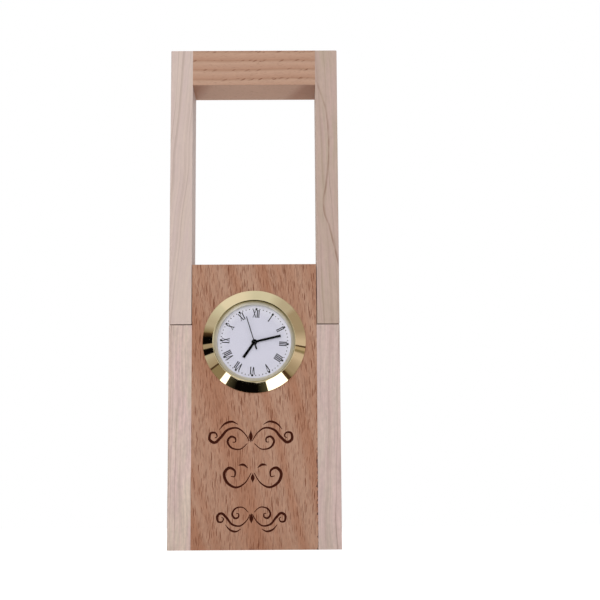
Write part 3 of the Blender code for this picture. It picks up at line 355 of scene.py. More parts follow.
def painted_shade_ends(tree, colour, behind):
    """Paint shade on the bar: paler along its middle and browner at both ends, where the arms
    shade it, all behind its front.
    """
    along = aslant(tree, millimetres(tree), 0.35)
    left = add(tree, "MapRange", {0: along, 1: -14.0, 2: -19.0})
    right = add(tree, "MapRange", {0: along, 1: 16.0, 2: 20.0})
    ends = add(tree, "Math", {0: left, 1: right}, operation="MAXIMUM")
    # Painted shade: a pale middle and brown ends, next to the arms
    shaded_end_tint = add(tree, "MixRGB", {0: ends, 1: "#CCA48C", 2: "#A87458"})
    deep = add(tree, "MapRange", {0: behind, 1: BAR_FRONT, 2: BAR_SIDES, 4: 0.65})
    return add(tree, "MixRGB", {0: deep, 1: colour, 2: shaded_end_tint})


def planed_maple(name, cool, warm, line, contrast, spacing=1.7, lean=0.0, seed=0.0,
                 figure=()):
    """Planed maple: pale and nearly even, with thin soft lines where the rings are cut.

    The rings stand aslant in the board, spacing mm apart, so that its sides show them too, and
    lean over by lean in each mm of height. seed picks the place in the tree.
    figure is one strong grain line, as points of height and place across the board in mm.
    """
    material, tree = new_material(name)
    board = grain_space(tree, "Z", 3.0, lean)
    grain = add(tree, "VectorMath", {0: board, 1: (seed, seed, seed)}, operation="ADD")
    cloud = add(tree, "MapRange", {0: fibres(tree, grain, 2.6, 20.0, 2.0), 1: 0.35, 2: 0.65})
    colour = add(tree, "MixRGB", {0: cloud, 1: cool, 2: warm})
    fibre = fibres(tree, grain, 0.65, 22.0)
    colour = streaked(tree, colour, fibre, fibres(tree, grain, 0.8, 1.8, 1.0), contrast)
    across = add(tree, "Math", {0: aslant(tree, board, 0.5), 1: seed}, operation="ADD")
    uneven = add(tree, "TexNoise", {"W": across, "Scale": 0.3, "Detail": 2.0},
                 noise_dimensions="1D")
    rings = add(tree, "Math", {0: across, 1: 1 / spacing}, operation="MULTIPLY")
    turns = add(tree, "Math", {0: uneven, 1: 3.0, 2: rings}, operation="MULTIPLY_ADD")
    ring = add(tree, "Math", {0: turns}, operation="FRACT")
    number = add(tree, "Math", {0: turns}, operation="FLOOR")
    chance = add(tree, "TexWhiteNoise", {"W": number}, noise_dimensions="1D")
    broken = add(tree, "MapRange", {0: fibres(tree, grain, 3.0, 26.0, 1.0),
                                    1: 0.35, 2: 0.6, 3: 0.45})
    faint = add(tree, "Math", {0: chance, 1: broken}, operation="MULTIPLY")
    edge = add(tree, "MapRange", {0: ring, 1: 0.0, 2: 0.28, 3: 1.0, 4: 0.0})
    late = add(tree, "Math", {0: edge, 1: faint}, operation="MULTIPLY")
    colour = add(tree, "MixRGB", {0: late, 1: colour, 2: line})
    if figure:
        colour = grain_figure(tree, colour, figure)
    gloss = add(tree, "MapRange", {0: fibre, 3: 0.46, 4: 0.64})
    surface(tree, colour, gloss, fibre, 0.00003, Specular_IOR_Level=0.3)
    return material


def grain_figure(tree, colour, points):
    """Draw one wavering brown grain line through the points (height, across) in mm.

    It runs on aslant behind the front, so that the arm's side shows it too.
    """
    low, high = points[-1][0], points[0][0]
    left, right = 18.0, 34.0
    place = millimetres(tree)
    parts = add(tree, "SeparateXYZ", {0: place})
    rise = add(tree, "MapRange", {0: parts.outputs["Z"], 1: low, 2: high})
    course = add(tree, "FloatCurve", {"Value": rise})
    curve = course.mapping.curves[0]
    places = sorted(((z - low) / (high - low), (x - left) / (right - left)) for z, x in points)
    for point, spot in zip(curve.points, (places[0], places[-1])):
        point.location = spot
    for spot in places[1:-1]:
        curve.points.new(*spot)
    course.mapping.update()
    middle = add(tree, "MapRange", {0: course, 3: left, 4: right})
    off = add(tree, "Math", {0: aslant(tree, place, -0.5), 1: middle}, operation="SUBTRACT")
    near = add(tree, "MapRange", {0: off, 1: -0.45, 2: -0.1})
    fade = add(tree, "MapRange", {0: off, 1: 0.0, 2: 0.6, 3: 1.0, 4: 0.0})
    ink = add(tree, "Math", {0: near, 1: fade}, operation="MULTIPLY")
    lower = add(tree, "MapRange", {0: parts.outputs["Z"], 1: 172.0, 2: 135.0, 3: 0.35})
    ink = add(tree, "Math", {0: ink, 1: lower}, operation="MULTIPLY")
    broken = fibres(tree, place, 1.5, 6.0, 1.0)
    strong = add(tree, "MapRange", {0: broken, 1: 0.35, 2: 0.6, 3: 0.25, 4: 0.6})
    mark = add(tree, "Math", {0: ink, 1: strong}, operation="MULTIPLY")
    return add(tree, "MixRGB", {0: mark, 1: colour, 2: "#805945"})


def plated(name, colour, worn, roughness, ripple):
    """Metal, turned or stamped: its gloss varies in patches 3 mm wide, with a 0.4 mm ripple."""
    material, tree = new_material(name)
    place = millimetres(tree)
    patches = add(tree, "TexNoise", {"Vector": place, "Scale": 0.35, "Detail": 3.0})
    grit = add(tree, "TexNoise", {"Vector": place, "Scale": 2.5, "Detail": 2.0})
    tint = add(tree, "MixRGB", {0: patches, 1: colour, 2: worn})
    gloss = add(tree, "MapRange", {0: patches, 3: roughness * 0.7, 4: roughness * 1.3})
    surface(tree, tint, gloss, grit, ripple, Metallic=1.0)
    return material


def from_clock_axis(tree):
    """Distance from the clock's axis in mm."""
    place = millimetres(tree)
    offset = add(tree, "VectorMath", {0: place, 1: (0.0, 0.0, CLOCK_HEIGHT / MM)},
                 operation="SUBTRACT")
    flat = add(tree, "VectorMath", {0: offset, 1: (1.0, 0.0, 1.0)}, operation="MULTIPLY")
    return add(tree, "VectorMath", {0: flat}, operation="LENGTH").outputs["Value"]


def satin_cove():
    """Satin brass of the inner bevel, with painted light and shade for its reflections:
    pale by the dial, darkened to olive by the crest.

    Its upper half has the darker painted shade, in patches 2 mm wide.
    """
    material, tree = new_material("satin_brass")
    place = millimetres(tree)
    radius = from_clock_axis(tree)
    patches = add(tree, "TexNoise", {"Vector": place, "Scale": 0.5, "Detail": 3.0})
    height = add(tree, "SeparateXYZ", {0: place}).outputs["Z"]
    least = add(tree, "MapRange", {0: height, 1: 73.0, 2: 80.0, 3: 0.22, 4: 0.0})
    most = add(tree, "MapRange", {0: height, 1: 73.0, 2: 80.0, 3: 0.5, 4: 1.0})
    out = add(tree, "MapRange", {0: radius, 1: 13.2, 2: 14.2, 3: least, 4: most})
    # Painted shade and light: olive towards the crest and the top, pale by the dial
    cove_painted_shade = add(tree, "Math", {0: patches, 1: 0.15, 2: out}, operation="MULTIPLY_ADD")
    tint = add(tree, "MixRGB", {0: cove_painted_shade, 1: "#FFFBF0", 2: "#998A58"})
    gloss = add(tree, "MapRange", {0: patches, 3: 0.36, 4: 0.5})
    surface(tree, tint, gloss, patches, 0.000001, Metallic=1.0)
    return material


def moulded(name, colour, patch, roughness, grain, sheen=0.5):
    """Plastic, rubber, paint or ink: mottled 2.5 mm wide, its gloss broken by a 0.1 mm grain."""
    material, tree = new_material(name)
    place = millimetres(tree)
    mottle = add(tree, "TexNoise", {"Vector": place, "Scale": 0.4, "Detail": 2.0})
    grit = add(tree, "TexNoise", {"Vector": place, "Scale": 8.0, "Detail": 2.0})
    tint = add(tree, "MixRGB", {0: mottle, 1: colour, 2: patch})
    gloss = add(tree, "MapRange", {0: grit, 3: roughness - 0.08, 4: roughness + 0.08})
    surface(tree, tint, gloss, grit, grain, IOR=1.5, Specular_IOR_Level=sheen)
    return material


def dial_lacquer():
    """Matt lacquer on the dial, mottled 2.5 mm wide, with painted light: paler by its edge,
    mostly above, where the rim shades it.
    """
    material, tree = new_material("matt_dial_lacquer")
    place = millimetres(tree)
    mottle = add(tree, "TexNoise", {"Vector": place, "Scale": 0.4, "Detail": 2.0})
    height = add(tree, "SeparateXYZ", {0: place}).outputs["Z"]
    # Painted light: the dial paler towards its edge and its top, where the rim and its recess
    # shade it
    most = add(tree, "MapRange", {0: height, 1: 60.0, 2: 85.0, 3: 0.35, 4: 1.05})
    out = add(tree, "MapRange", {0: from_clock_axis(tree), 1: 9.5, 2: 13.5, 4: most})
    mottle_and_painted_light = add(tree, "Math", {0: mottle, 1: 0.12, 2: out}, operation="MULTIPLY_ADD")
    tint = add(tree, "MixRGB", {0: mottle_and_painted_light, 1: "#D7D6E5", 2: "#F2F1FB"})
    gloss = add(tree, "MapRange", {0: mottle, 3: 0.52, 4: 0.68})
    surface(tree, tint, gloss, mottle, 0.000004, IOR=1.5, Specular_IOR_Level=0.3)
    return material


def clear_acrylic():
    """Moulded acrylic lens: water clear, with a low IOR as its gloss hardly shows.

    Its polish varies in patches 2 mm wide. Lamps light the dial straight through it.
    """
    material, tree = new_material("clear_acrylic")
    haze = add(tree, "TexNoise", {"Vector": millimetres(tree), "Scale": 0.5, "Detail": 2.0})
    gloss = add(tree, "MapRange", {0: haze, 3: 0.0, 4: 0.03})
    out = surface(tree, "#FFFFFF", gloss, haze, 0.0000002, IOR=1.2, Transmission_Weight=1.0)
    lens = out.inputs["Surface"].links[0].from_socket
    light_path = add(tree, "LightPath")
    through = add(tree, "Math", {0: light_path.outputs["Is Shadow Ray"],
                                 1: light_path.outputs["Is Diffuse Ray"]},
                  operation="MAXIMUM")
    mixed = add(tree, "MixShader", {0: through, 1: lens, 2: add(tree, "BsdfTransparent")})
    tree.links.new(mixed.outputs[0], out.inputs["Surface"])
    return material


def enamelled_copper():
    """Enamelled copper wire, close wound; the turns are 0.1 mm apart, drawn at 0.2 to show."""
    # Waves of scale 1 are 0.314 mm apart
    material, tree = new_material("enamelled_copper")
    turns = add(tree, "TexWave", {"Vector": millimetres(tree), "Scale": 1.57,
                                  "Distortion": 0.2}, bands_direction="X").outputs["Fac"]
    tint = add(tree, "MixRGB", {0: turns, 1: "#7A2E14", 2: "#C8683A"})
    gloss = add(tree, "MapRange", {0: turns, 3: 0.35, 4: 0.22})
    surface(tree, tint, gloss, turns, 0.00004, Metallic=1.0, Coat_Weight=0.4)
    return material


def burnt_beech():
    """The walls of a laser-burnt groove: dark brown char, dull and rough, in 0.4 mm grains."""
    material, tree = new_material("burnt_beech")
    char = add(tree, "TexNoise", {"Vector": millimetres(tree), "Scale": 2.5, "Detail": 3.0})
    tint = add(tree, "MixRGB", {0: char, 1: "#2E0C02", 2: "#5A2410"})
    gloss = add(tree, "MapRange", {0: char, 3: 0.7, 4: 0.9})
    surface(tree, tint, gloss, char, 0.00005, Specular_IOR_Level=0.2)
    return material


# Engraving in the panel

# How deep a groove goes for each mm of half its width, and how far the cutter stands out
GROOVE_SLOPE = 0.9
PROUD = 0.1


def smooth_path(points, per_span=10):
    """A Catmull-Rom curve through the points."""
    ends = [points[0]] + points + [points[-1]]
    path = []
    for a, b, c, d in zip(ends, ends[1:], ends[2:], ends[3:]):
        for step in range(per_span):
            t = step / per_span
            path.append(tuple(0.5 * (2 * q + (r - p) * t + (2 * p - 5 * q + 4 * r - s) * t * t
                                     + (3 * q - p - 3 * r + s) * t ** 3)
                              for p, q, r, s in zip(a, b, c, d)))
    path.append(points[-1])
    return path


def groove(shape, path, thin, thick, mirror, centre, lift=1):
    """Add the cutter of one engraved stroke: a V-shaped boat, widest along its middle."""
    count = len(path)
    rows = []
    for i, (x, z) in enumerate(path):
        before = path[max(i - 1, 0)]
        after = path[min(i + 1, count - 1)]
        along = Vector((after[0] - before[0], after[1] - before[1])).normalized()
        side = Vector((-along.y, along.x))
        half = (thin + (thick - thin) * sin(pi * i / (count - 1)) ** 1.5) / 2
        depth = GROOVE_SLOPE * half
        wide = half * (1 + PROUD / depth)
        row = []
        for offset, sink in ((wide, -PROUD), (0, depth), (-wide, -PROUD)):
            px = (x + side.x * offset) * mirror + centre[0]
            pz = (z + side.y * offset) * lift + centre[1]
            row.append(shape.verts.new((px * MM, FRONT + sink * MM, pz * MM)))
        rows.append(row)
    for row, after in zip(rows, rows[1:]):
        for i in range(3):
            j = (i + 1) % 3
            shape.faces.new((row[i], row[j], after[j], after[i]))
    shape.faces.new(rows[0][::-1])
    shape.faces.new(rows[-1])


def wide_scroll():
    """Strokes of one half of the wide ornament, in mm from its middle: path, thin, thick."""
    sweep = [(0.5, -1.6), (2.2, 1.0), (5.0, 2.9), (8.4, 2.3), (10.8, -0.2), (13.0, -2.0),
             (14.9, -1.0), (14.6, 1.1), (12.9, 1.3), (12.2, 0.1), (13.1, -0.5)]
    lower = [(1.3, -2.4), (3.8, -4.3), (6.9, -3.9), (8.4, -1.8), (7.3, -0.1), (5.7, -0.5),
             (5.6, -1.8), (6.6, -1.9)]
    leaf = [(4.6, 4.1), (6.8, 5.1), (9.4, 4.4), (11.4, 2.4)]
    return [(sweep, 0.28, 1.0), (lower, 0.25, 0.8), (leaf, 0.18, 0.8)]


def narrow_scroll():
    """Strokes of one half of the narrow ornament."""
    sweep = [(0.5, 1.6), (2.8, -1.5), (6.1, -2.9), (9.3, -1.4), (10.4, 1.3), (8.7, 3.1),
             (6.6, 2.3), (6.6, 0.5), (8.0, 0.6)]
    leaf = [(1.8, 3.1), (3.4, 4.1), (5.2, 3.9)]
    return [(sweep, 0.26, 0.95), (leaf, 0.18, 0.75)]


def engrave():
    """One mesh that cuts three lines of plain scrollwork into the panel.

    Each line has its middle, its strokes, which way up they stand, how much wider and taller
    they are, and the height of the lozenge between them.
    """
    shape = bmesh.new()
    rows = (((-1.25, 39.1), wide_scroll(), 1, (0.965, 1.02), 4.2),
            ((-0.6, 24.7), narrow_scroll(), 1, (0.955, 1.12), 3.2),
            ((-1.1, 10.8), wide_scroll(), -1, (0.79, 0.88), 3.5))
    for centre, strokes, lift, (wide, tall), height in rows:
        for points, thin, thick in strokes:
            path = smooth_path([(x * wide, z * tall) for x, z in points])
            for mirror in (-1, 1):
                groove(shape, path, thin, thick * tall, mirror, centre, lift)
        lozenge = [(0, height * (i / 8 - 0.5)) for i in range(9)]
        groove(shape, lozenge, 0.1, 1.4, 1, centre)
    bmesh.ops.recalc_face_normals(shape, faces=shape.faces)
    return shape


def cut(piece, tool_shape, material=None, itself=False):
    """Cut a bmesh out of a piece, for good.

    The walls of the cut take the material, and itself allows strokes that cross each other.
    """
    tool = object_from("cutter", tool_shape, material)
    boolean = piece.modifiers.new("cut", "BOOLEAN")
    boolean.object = tool
    boolean.solver = "EXACT"
    boolean.use_self = itself
    if material:
        boolean.material_mode = "TRANSFER"
    bpy.context.view_layer.update()
    result = bpy.data.meshes.new_from_object(
        piece.evaluated_get(bpy.context.evaluated_depsgraph_get()))
    piece.modifiers.clear()
    piece.data = result
    bpy.data.objects.remove(tool)


def cylinder(radius, low, high, steps, matrix):
    """A plain round rod along the matrix's own z axis, for cutting."""
    shape = bmesh.new()
    outline = [(radius * cos(tau * i / steps), radius * sin(tau * i / steps))
               for i in range(steps)]
    slab(shape, outline, low, high, matrix)
    bmesh.ops.recalc_face_normals(shape, faces=shape.faces)
    return shape


def make_panel(wood, burnt):
    """The beech panel with its bore and pin holes, and scrollwork burnt into its face."""
    low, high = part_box("clock_panel")
    shape = bmesh.new()
    outline = [(low.x, low.y), (high.x, low.y), (high.x, high.y), (low.x, high.y)]
    slab(shape, outline, low.z, high.z, Matrix.Identity(4))
    rounded = [e for e in shape.edges
               if all(v.co.z > high.z - MM for v in e.verts)
               and abs(e.verts[0].co.y - e.verts[1].co.y) < MM]
    bmesh.ops.bevel(shape, geom=rounded, offset=EDGE_ROUND, segments=3, profile=0.5,
                    affect="EDGES")
    piece = piece_from("engraved_panel", shape, wood, "board")
    cut(piece, cylinder(BORE_RADIUS, -BORE_DEPTH, 5 * MM, 128, INSERT))
    for side in (-1, 1):
        across = Matrix.Translation((side * PANEL_WIDTH / 2, PIN_BACK, PIN_HEIGHT)
                                    ) @ Matrix.Rotation(pi / 2, 4, "Y")
        cut(piece, cylinder(PIN_HOLE, -PIN_REACH, PIN_REACH, 32, across))
    cut(piece, engrave(), burnt, itself=True)
    shade(piece, 30)
    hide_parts("clock_panel")


# The clock's face


# The satin cove is what lies within the crest's inner edge and above its own foot
CREST_RADIUS = 14.2 * MM
COVE_FOOT = 1.55 * MM


def bowed(start, end, bulge):
    """Points of a line between two points of a profile, which bulges up in its middle."""
    (r0, z0), (r1, z1) = start, end
    return [(r0 + (r1 - r0) * share, z0 + (z1 - z0) * share + bulge * sin(pi * share))
            for share in (0.01, 0.1, 0.2, 0.3, 0.4, 0.5, 0.6, 0.7, 0.8, 0.9, 0.99)]


def make_bezel(brass, satin):
    """The turned brass rim: a polished convex face, a crest, a satin cove and a skirt.

    Its profile is radius and height over the panel in mm.
    """
    profile = [(17.0, -2.6), (17.0, -0.06), (17.06, 0.0), (18.17, 0.0), (18.25, 0.08),
               (18.25, 0.45), (18.22, 0.51)]
    profile += bowed((18.22, 0.51), (14.62, 2.78), 0.06)
    profile += [(14.62, 2.78), (14.58, 2.8), (14.22, 2.8), (14.18, 2.76)]
    profile += bowed((14.18, 2.76), (13.08, 1.64), 0.02)
    profile += [(13.08, 1.62), (13.06, 1.58), (13.06, 1.5), (13.85, 1.5), (13.85, -1.5),
                (16.1, -1.5), (16.1, -2.6)]
    shape = turned([(r * MM, z * MM) for r, z in profile], 192)
    bezel = piece_from("turned_bezel", shape, brass, "clock_insert", 25)
    bezel.data.materials.append(satin)
    to_insert = INSERT.inverted()
    for face in bezel.data.polygons:
        place = to_insert @ face.center
        inside = Vector((place.x, place.y)).length < CREST_RADIUS
        face.material_index = int(inside and place.z > COVE_FOOT)
    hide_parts("bezel_ring")


# Printed numerals, in mm: their height, how thick strokes and serifs are, how wide letters
GLYPH_HEIGHT = 2.65
THICK = 0.34
THIN = 0.18
SERIF = 0.14
LETTER_WIDTHS = {"I": 0.58, "V": 1.35, "X": 1.42}


def glyph_strokes(letter):
    """The strokes of a Roman letter as outlines in mm, its foot at 0."""
    wide = LETTER_WIDTHS[letter]
    top = GLYPH_HEIGHT
    cap = top - SERIF
    middle = wide / 2
    if letter == "I":
        stem = bar((middle, 0), (middle, top), THICK)
        return [stem, serif(0.02, wide - 0.02, 0), serif(0.02, wide - 0.02, cap)]
    if letter == "V":
        return [bar((0.28, top), (middle, 0), THICK), bar((wide - 0.22, top), (middle, 0), THIN),
                serif(0, 0.62, cap), serif(wide - 0.5, wide, cap)]
    return [bar((0.28, top), (wide - 0.28, 0), THICK), bar((wide - 0.22, top), (0.22, 0), THIN),
            serif(0, 0.58, cap), serif(wide - 0.48, wide, cap), serif(0, 0.48, 0),
            serif(wide - 0.58, wide, 0)]


def bar(start, end, width):
    """A slanting stroke between two heights, so wide measured level."""
    (x0, y0), (x1, y1) = start, end
    half = width / 2
    return [(x0 - half, y0), (x0 + half, y0), (x1 + half, y1), (x1 - half, y1)]


def serif(left, right, y):
    """A flat serif as an outline."""
    return [(left, y), (right, y), (right, y + SERIF), (left, y + SERIF)]


HOURS = ("XII", "I", "II", "III", "IIII", "V", "VI", "VII", "VIII", "IX", "X", "XI")
# In mm: radius of the numerals' feet, radius of the circle of dots, and the dots' own radii
NUMERAL_FOOT = 8.85
DOT_CIRCLE = 11.86
HOUR_DOT = 0.39
MINUTE_DOT = 0.18
# The ink: its gap over the dial, its thickness, and by how much the next stroke is thicker
INK_GAP = 0.004 * MM
INK_THICKNESS = 0.015 * MM
INK_STEP = 0.0006 * MM


def make_print(ink):
    """Roman hours, feet to the middle, and a dot for every minute, printed on the dial."""
    shape = bmesh.new()
    low = DIAL_FACE + INK_GAP
    count = 0

    def printed(outline):
        """Add one stroke, a hair thicker or thinner than the one it may overlap."""
        nonlocal count
        count += 1
        top = low + INK_THICKNESS + (count % 7) * INK_STEP
        slab(shape, [(x * MM, y * MM) for x, y in outline], low, top)

    for hour, text in enumerate(HOURS):
        angle = tau * hour / 12
        across = Vector((cos(angle), -sin(angle)))
        out = Vector((sin(angle), cos(angle)))
        at = -sum(LETTER_WIDTHS[letter] for letter in text) / 2
        for letter in text:
            for stroke in glyph_strokes(letter):
                printed([tuple(across * (at + x) + out * (NUMERAL_FOOT + y))
                         for x, y in stroke])
            at += LETTER_WIDTHS[letter]
    for minute in range(60):
        angle = tau * minute / 60
        radius = MINUTE_DOT if minute % 5 else HOUR_DOT
        middle = Vector((sin(angle), cos(angle))) * DOT_CIRCLE
        printed([(middle.x + radius * cos(tau * i / 16), middle.y + radius * sin(tau * i / 16))
                 for i in range(16)])
    bmesh.ops.recalc_face_normals(shape, faces=shape.faces)
    piece_from("dial_print", shape, ink, "clock_insert", 30)


def make_dial(enamel):
    """The pale dial, round enough for its edge to show smooth."""
    profile = [(DIAL_HOLE, DIAL_BACK), (DIAL_RADIUS, DIAL_BACK), (DIAL_RADIUS, DIAL_FACE),
               (DIAL_HOLE, DIAL_FACE)]
    shape = turned(profile, 128)
    dial = piece_from("enamel_dial", shape, enamel, "clock_insert")
    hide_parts("dial")


# The studio

# The camera's place, its yaw, pitch and roll, and its focal length in mm
CAMERA_PLACE = Vector((12.53, -491.31, 8.0)) * MM
CAMERA_TURN = (radians(0.4442), radians(9.3453), radians(-0.3757))
CAMERA_LENS = 82.49
# How bright the room is, how bright a softbox mirrors, and how far off the cards hang, in m
WORLD_LEVEL = 0.62
SOFTBOX = 2.6
CARD_DISTANCE = 0.6
# The floor's own glow where the camera sees it and where metal mirrors it
FLOOR_SEEN = 0.6
FLOOR_MIRRORED = 0.2
FLOOR_GAP = 0.05 * MM
# Where on the rim the cards are mirrored: the radius and the height of its face's middle
RIM_RADIUS = 16.5 * MM
RIM_HEIGHT = 1.6 * MM
# How far above the floor's level a card ends
CARD_GAP = 0.5 * MM
# What the lamps face
MIDDLE = (0, 0, 90.0 * MM)
# Shades of the studio's cards
SHADES = {
    "white": "#FCFAF6", "daylight": "#E9EBE5", "peach": "#E2D4CA", "light": "#CDC8C0",
    "straw": "#C8B8A0", "warm": "#B5A899", "grey": "#ADACA2", "tan": "#9A8E76",
    "middling": "#7E7D75", "brown": "#54402F", "dusk": "#525044", "dark": "#2A2927",
    "black": "#0A0706",
}
# What stands round the clock, by the hour angles from which and to which the rim's face
# mirrors it. Between two cards their shades blend.
RIM_CARDS = (
    (0, 20, "daylight"), (36, 48, "light"), (54, 78, "warm"), (90, 95.5, "peach"),
    (96, 97.5, "brown"), (98, 101, "straw"), (102, 104, "tan"), (106, 112, "peach"),
    (126, 129, "warm"), (133.5, 133.5, "tan"), (135, 139, "brown"), (139.5, 164, "softbox"),
    (164.5, 165, "dusk"), (176, 202, "black"), (213, 213.5, "dusk"), (214, 221, "softbox"),
    (222, 235.5, "tan"), (236.5, 238, "brown"), (238.5, 239, "warm"), (250, 253.5, "light"),
    (254, 261, "black"), (261.5, 266.5, "warm"), (267, 275, "black"), (280, 280, "brown"),
    (282, 282, "tan"), (290, 296, "light"), (314, 316, "daylight"), (320, 346, "white"),
    (360, 360, "daylight"),
)
# How far the rim's face leans over, in degrees
FACE_TILTS = (29.4, 33, 36.6)
# What hangs beyond it, which only the cove and the rim's outer edge mirror
COVE_TILTS = (36.8, 42, 47, 52)
COVE_CARD = "#D2CEC6"
# What stands before the clock: black for the lens, and beyond it what the flat crest
# mirrors, in the same way, dark at the top
LENS_TILTS = (0, 1.44, 1.46, 12)
LENS_CARD = "#0A0A0C"
CREST_CARDS = (
    (0, 36, "dark"), (50, 52, "middling"), (68, 180, "grey"), (196, 210, "white"),
    (225, 255, "grey"), (273, 277, "daylight"), (300, 300, "grey"), (318, 330, "middling"),
    (345, 345, "dusk"), (360, 360, "dark"),
)


def seen_in_metal(angle, tilt, radius):
    """Where the camera looks, mirrored where the metal leans over at an hour angle."""
    angle = radians(angle)
    tilt = radians(tilt)
    outward = Vector((sin(angle), 0, cos(angle)))
    start = Vector((0, FRONT - RIM_HEIGHT, CLOCK_HEIGHT)) + outward * radius
    normal = outward * sin(tilt) + Vector((0, -cos(tilt), 0))
    ray = (start - CAMERA_PLACE).normalized().reflect(normal)
    reach = CARD_DISTANCE
    if ray.z < 0:
        reach = min(reach, (start.z - CARD_GAP) / -ray.z)
    return start + ray * reach


def hang_cards(shape, stops, tilts, radius):
    """Hang a ring of cards where the metal mirrors them; each stop is an angle and its glows."""
    glow = shape.verts.layers.float_color["glow"]
    rows = []
    for angle, glows in stops:
        row = [shape.verts.new(seen_in_metal(angle, tilt, radius)) for tilt in tilts]
        for vert, level in zip(row, glows):
            vert[glow] = level
        rows.append(row)
    for row, after in zip(rows, rows[1:]):
        for i in range(len(tilts) - 1):
            shape.faces.new((row[i], row[i + 1], after[i + 1], after[i]))


def make_surroundings():
    """Flags, softboxes and grey cards that only show as reflections in metal and glass.

    Light that comes back from matt surfaces passes them as plain room light.
    """
    material, tree = new_material("studio_cards")
    glow = add(tree, "Emission", {"Color": add(tree, "VertexColor", layer_name="glow")})
    room = add(tree, "Emission", {"Color": "#FFFFFF", "Strength": WORLD_LEVEL})
    light_path = add(tree, "LightPath")
    mixed = add(tree, "MixShader", {0: light_path.outputs["Diffuse Depth"], 1: glow, 2: room})
    add(tree, "OutputMaterial", {"Surface": mixed})
    shape = bmesh.new()
    shape.verts.layers.float_color.new("glow")
    glows = {name: linear(shade) for name, shade in SHADES.items()}
    glows["softbox"] = (SOFTBOX, SOFTBOX, SOFTBOX, 1)
    rim = [(angle, [glows[name]] * len(FACE_TILTS))
           for start, end, name in RIM_CARDS for angle in sorted({start, end})]
    hang_cards(shape, rim, FACE_TILTS, RIM_RADIUS)
    cove = [(angle, [linear(COVE_CARD)] * len(COVE_TILTS)) for angle in range(0, 361, 10)]
    hang_cards(shape, cove, COVE_TILTS, RIM_RADIUS)
    front = [(angle, [linear(LENS_CARD)] * 2 + [glows[name]] * 2)
             for start, end, name in CREST_CARDS for angle in sorted({start, end})]
    hang_cards(shape, front, LENS_TILTS, 0.0)
    cards = object_from("studio_cards", shape, material)
    cards.visible_camera = False
    cards.visible_diffuse = False
    cards.visible_shadow = False
    cards.visible_transmission = False
    cards.visible_volume_scatter = False


def sight_rays(tree):
    """1 for rays from the camera, and 1 for rays by way of a mirror or a lens."""
    light_path = add(tree, "LightPath")
    mirrored = add(tree, "Math", {0: light_path.outputs["Is Glossy Ray"],
                                  1: light_path.outputs["Is Transmission Ray"]},
                   operation="MAXIMUM")
    return light_path.outputs["Is Camera Ray"], mirrored


def make_floor():
    """A plain white floor that keeps the clock's shadow."""
    material, tree = new_material("white_floor")
    direct, mirrored = sight_rays(tree)
    seen = add(tree, "Math", {0: direct, 1: FLOOR_SEEN}, operation="MULTIPLY")
    lift = add(tree, "Math", {0: mirrored, 1: FLOOR_MIRRORED, 2: seen},
               operation="MULTIPLY_ADD")
    paper = add(tree, "BsdfDiffuse", {"Color": "#F0F0F0"})
    glow = add(tree, "Emission", {"Color": "#FFFFFF", "Strength": lift})
    both = add(tree, "AddShader", {0: paper, 1: glow})
    add(tree, "OutputMaterial", {"Surface": both})

    shape = bmesh.new()
    bmesh.ops.create_grid(shape, x_segments=1, y_segments=1, size=6.0)
    floor = object_from("floor", shape, material)
    floor.location = (0, 0, -FLOOR_GAP)


def make_world():
    """Even white light from all round, and plain white where it is seen or mirrored."""
    world = bpy.data.worlds.new("studio")
    bpy.context.scene.world = world
    world.use_nodes = True
    tree = world.node_tree
    tree.nodes.clear()
    direct, mirrored = sight_rays(tree)
    seen = add(tree, "Math", {0: direct, 1: mirrored}, operation="MAXIMUM")
    level = add(tree, "MapRange", {0: seen, 3: WORLD_LEVEL, 4: 1.0})
    sky = add(tree, "Background", {"Color": "#FFFFFF", "Strength": level})
    add(tree, "OutputWorld", {"Surface": sky})


def make_lamp(name, place, target, size, power):
    """A softbox, size metres wide and power watts, that brass and lens don't mirror."""
    light = bpy.data.lights.new(name, "AREA")
    light.shape = "SQUARE"
    light.size = size
    light.energy = power
    lamp = bpy.data.objects.new(name, light)
    lamp.location = place
    direction = Vector(target) - Vector(place)
    lamp.rotation_euler = direction.to_track_quat("-Z", "Y").to_euler()
    lamp.visible_glossy = False
    lamp.visible_transmission = False
    lamp.visible_camera = False
    bpy.context.scene.collection.objects.link(lamp)


def make_camera():
    """The photo's view, fitted to its edges: 82 mm lens from half a metre, near the floor."""
    yaw, pitch, roll = CAMERA_TURN
    forward = Vector((sin(yaw) * cos(pitch), cos(yaw) * cos(pitch), sin(pitch)))
    level = Vector((cos(yaw), -sin(yaw), 0))
    above = level.cross(forward)
    right = cos(roll) * level + sin(roll) * above
    up = cos(roll) * above - sin(roll) * level
    data = bpy.data.cameras.new("camera")
    data.sensor_width = 36
    data.lens = CAMERA_LENS
    data.clip_start = 0.01
    camera = bpy.data.objects.new("camera", data)
    turn = Matrix((right, up, -forward)).transposed().to_4x4()
    camera.matrix_world = Matrix.Translation(CAMERA_PLACE) @ turn
    bpy.context.scene.collection.objects.link(camera)
    bpy.context.scene.camera = camera


# Height and place across of the brown grain line in the right arm, in mm
ARM_FIGURE = ((180, 20.5), (171, 22), (163, 24.5), (155, 26.5), (142, 27), (130, 26),
              (122, 25), (114, 27), (94, 31.5))


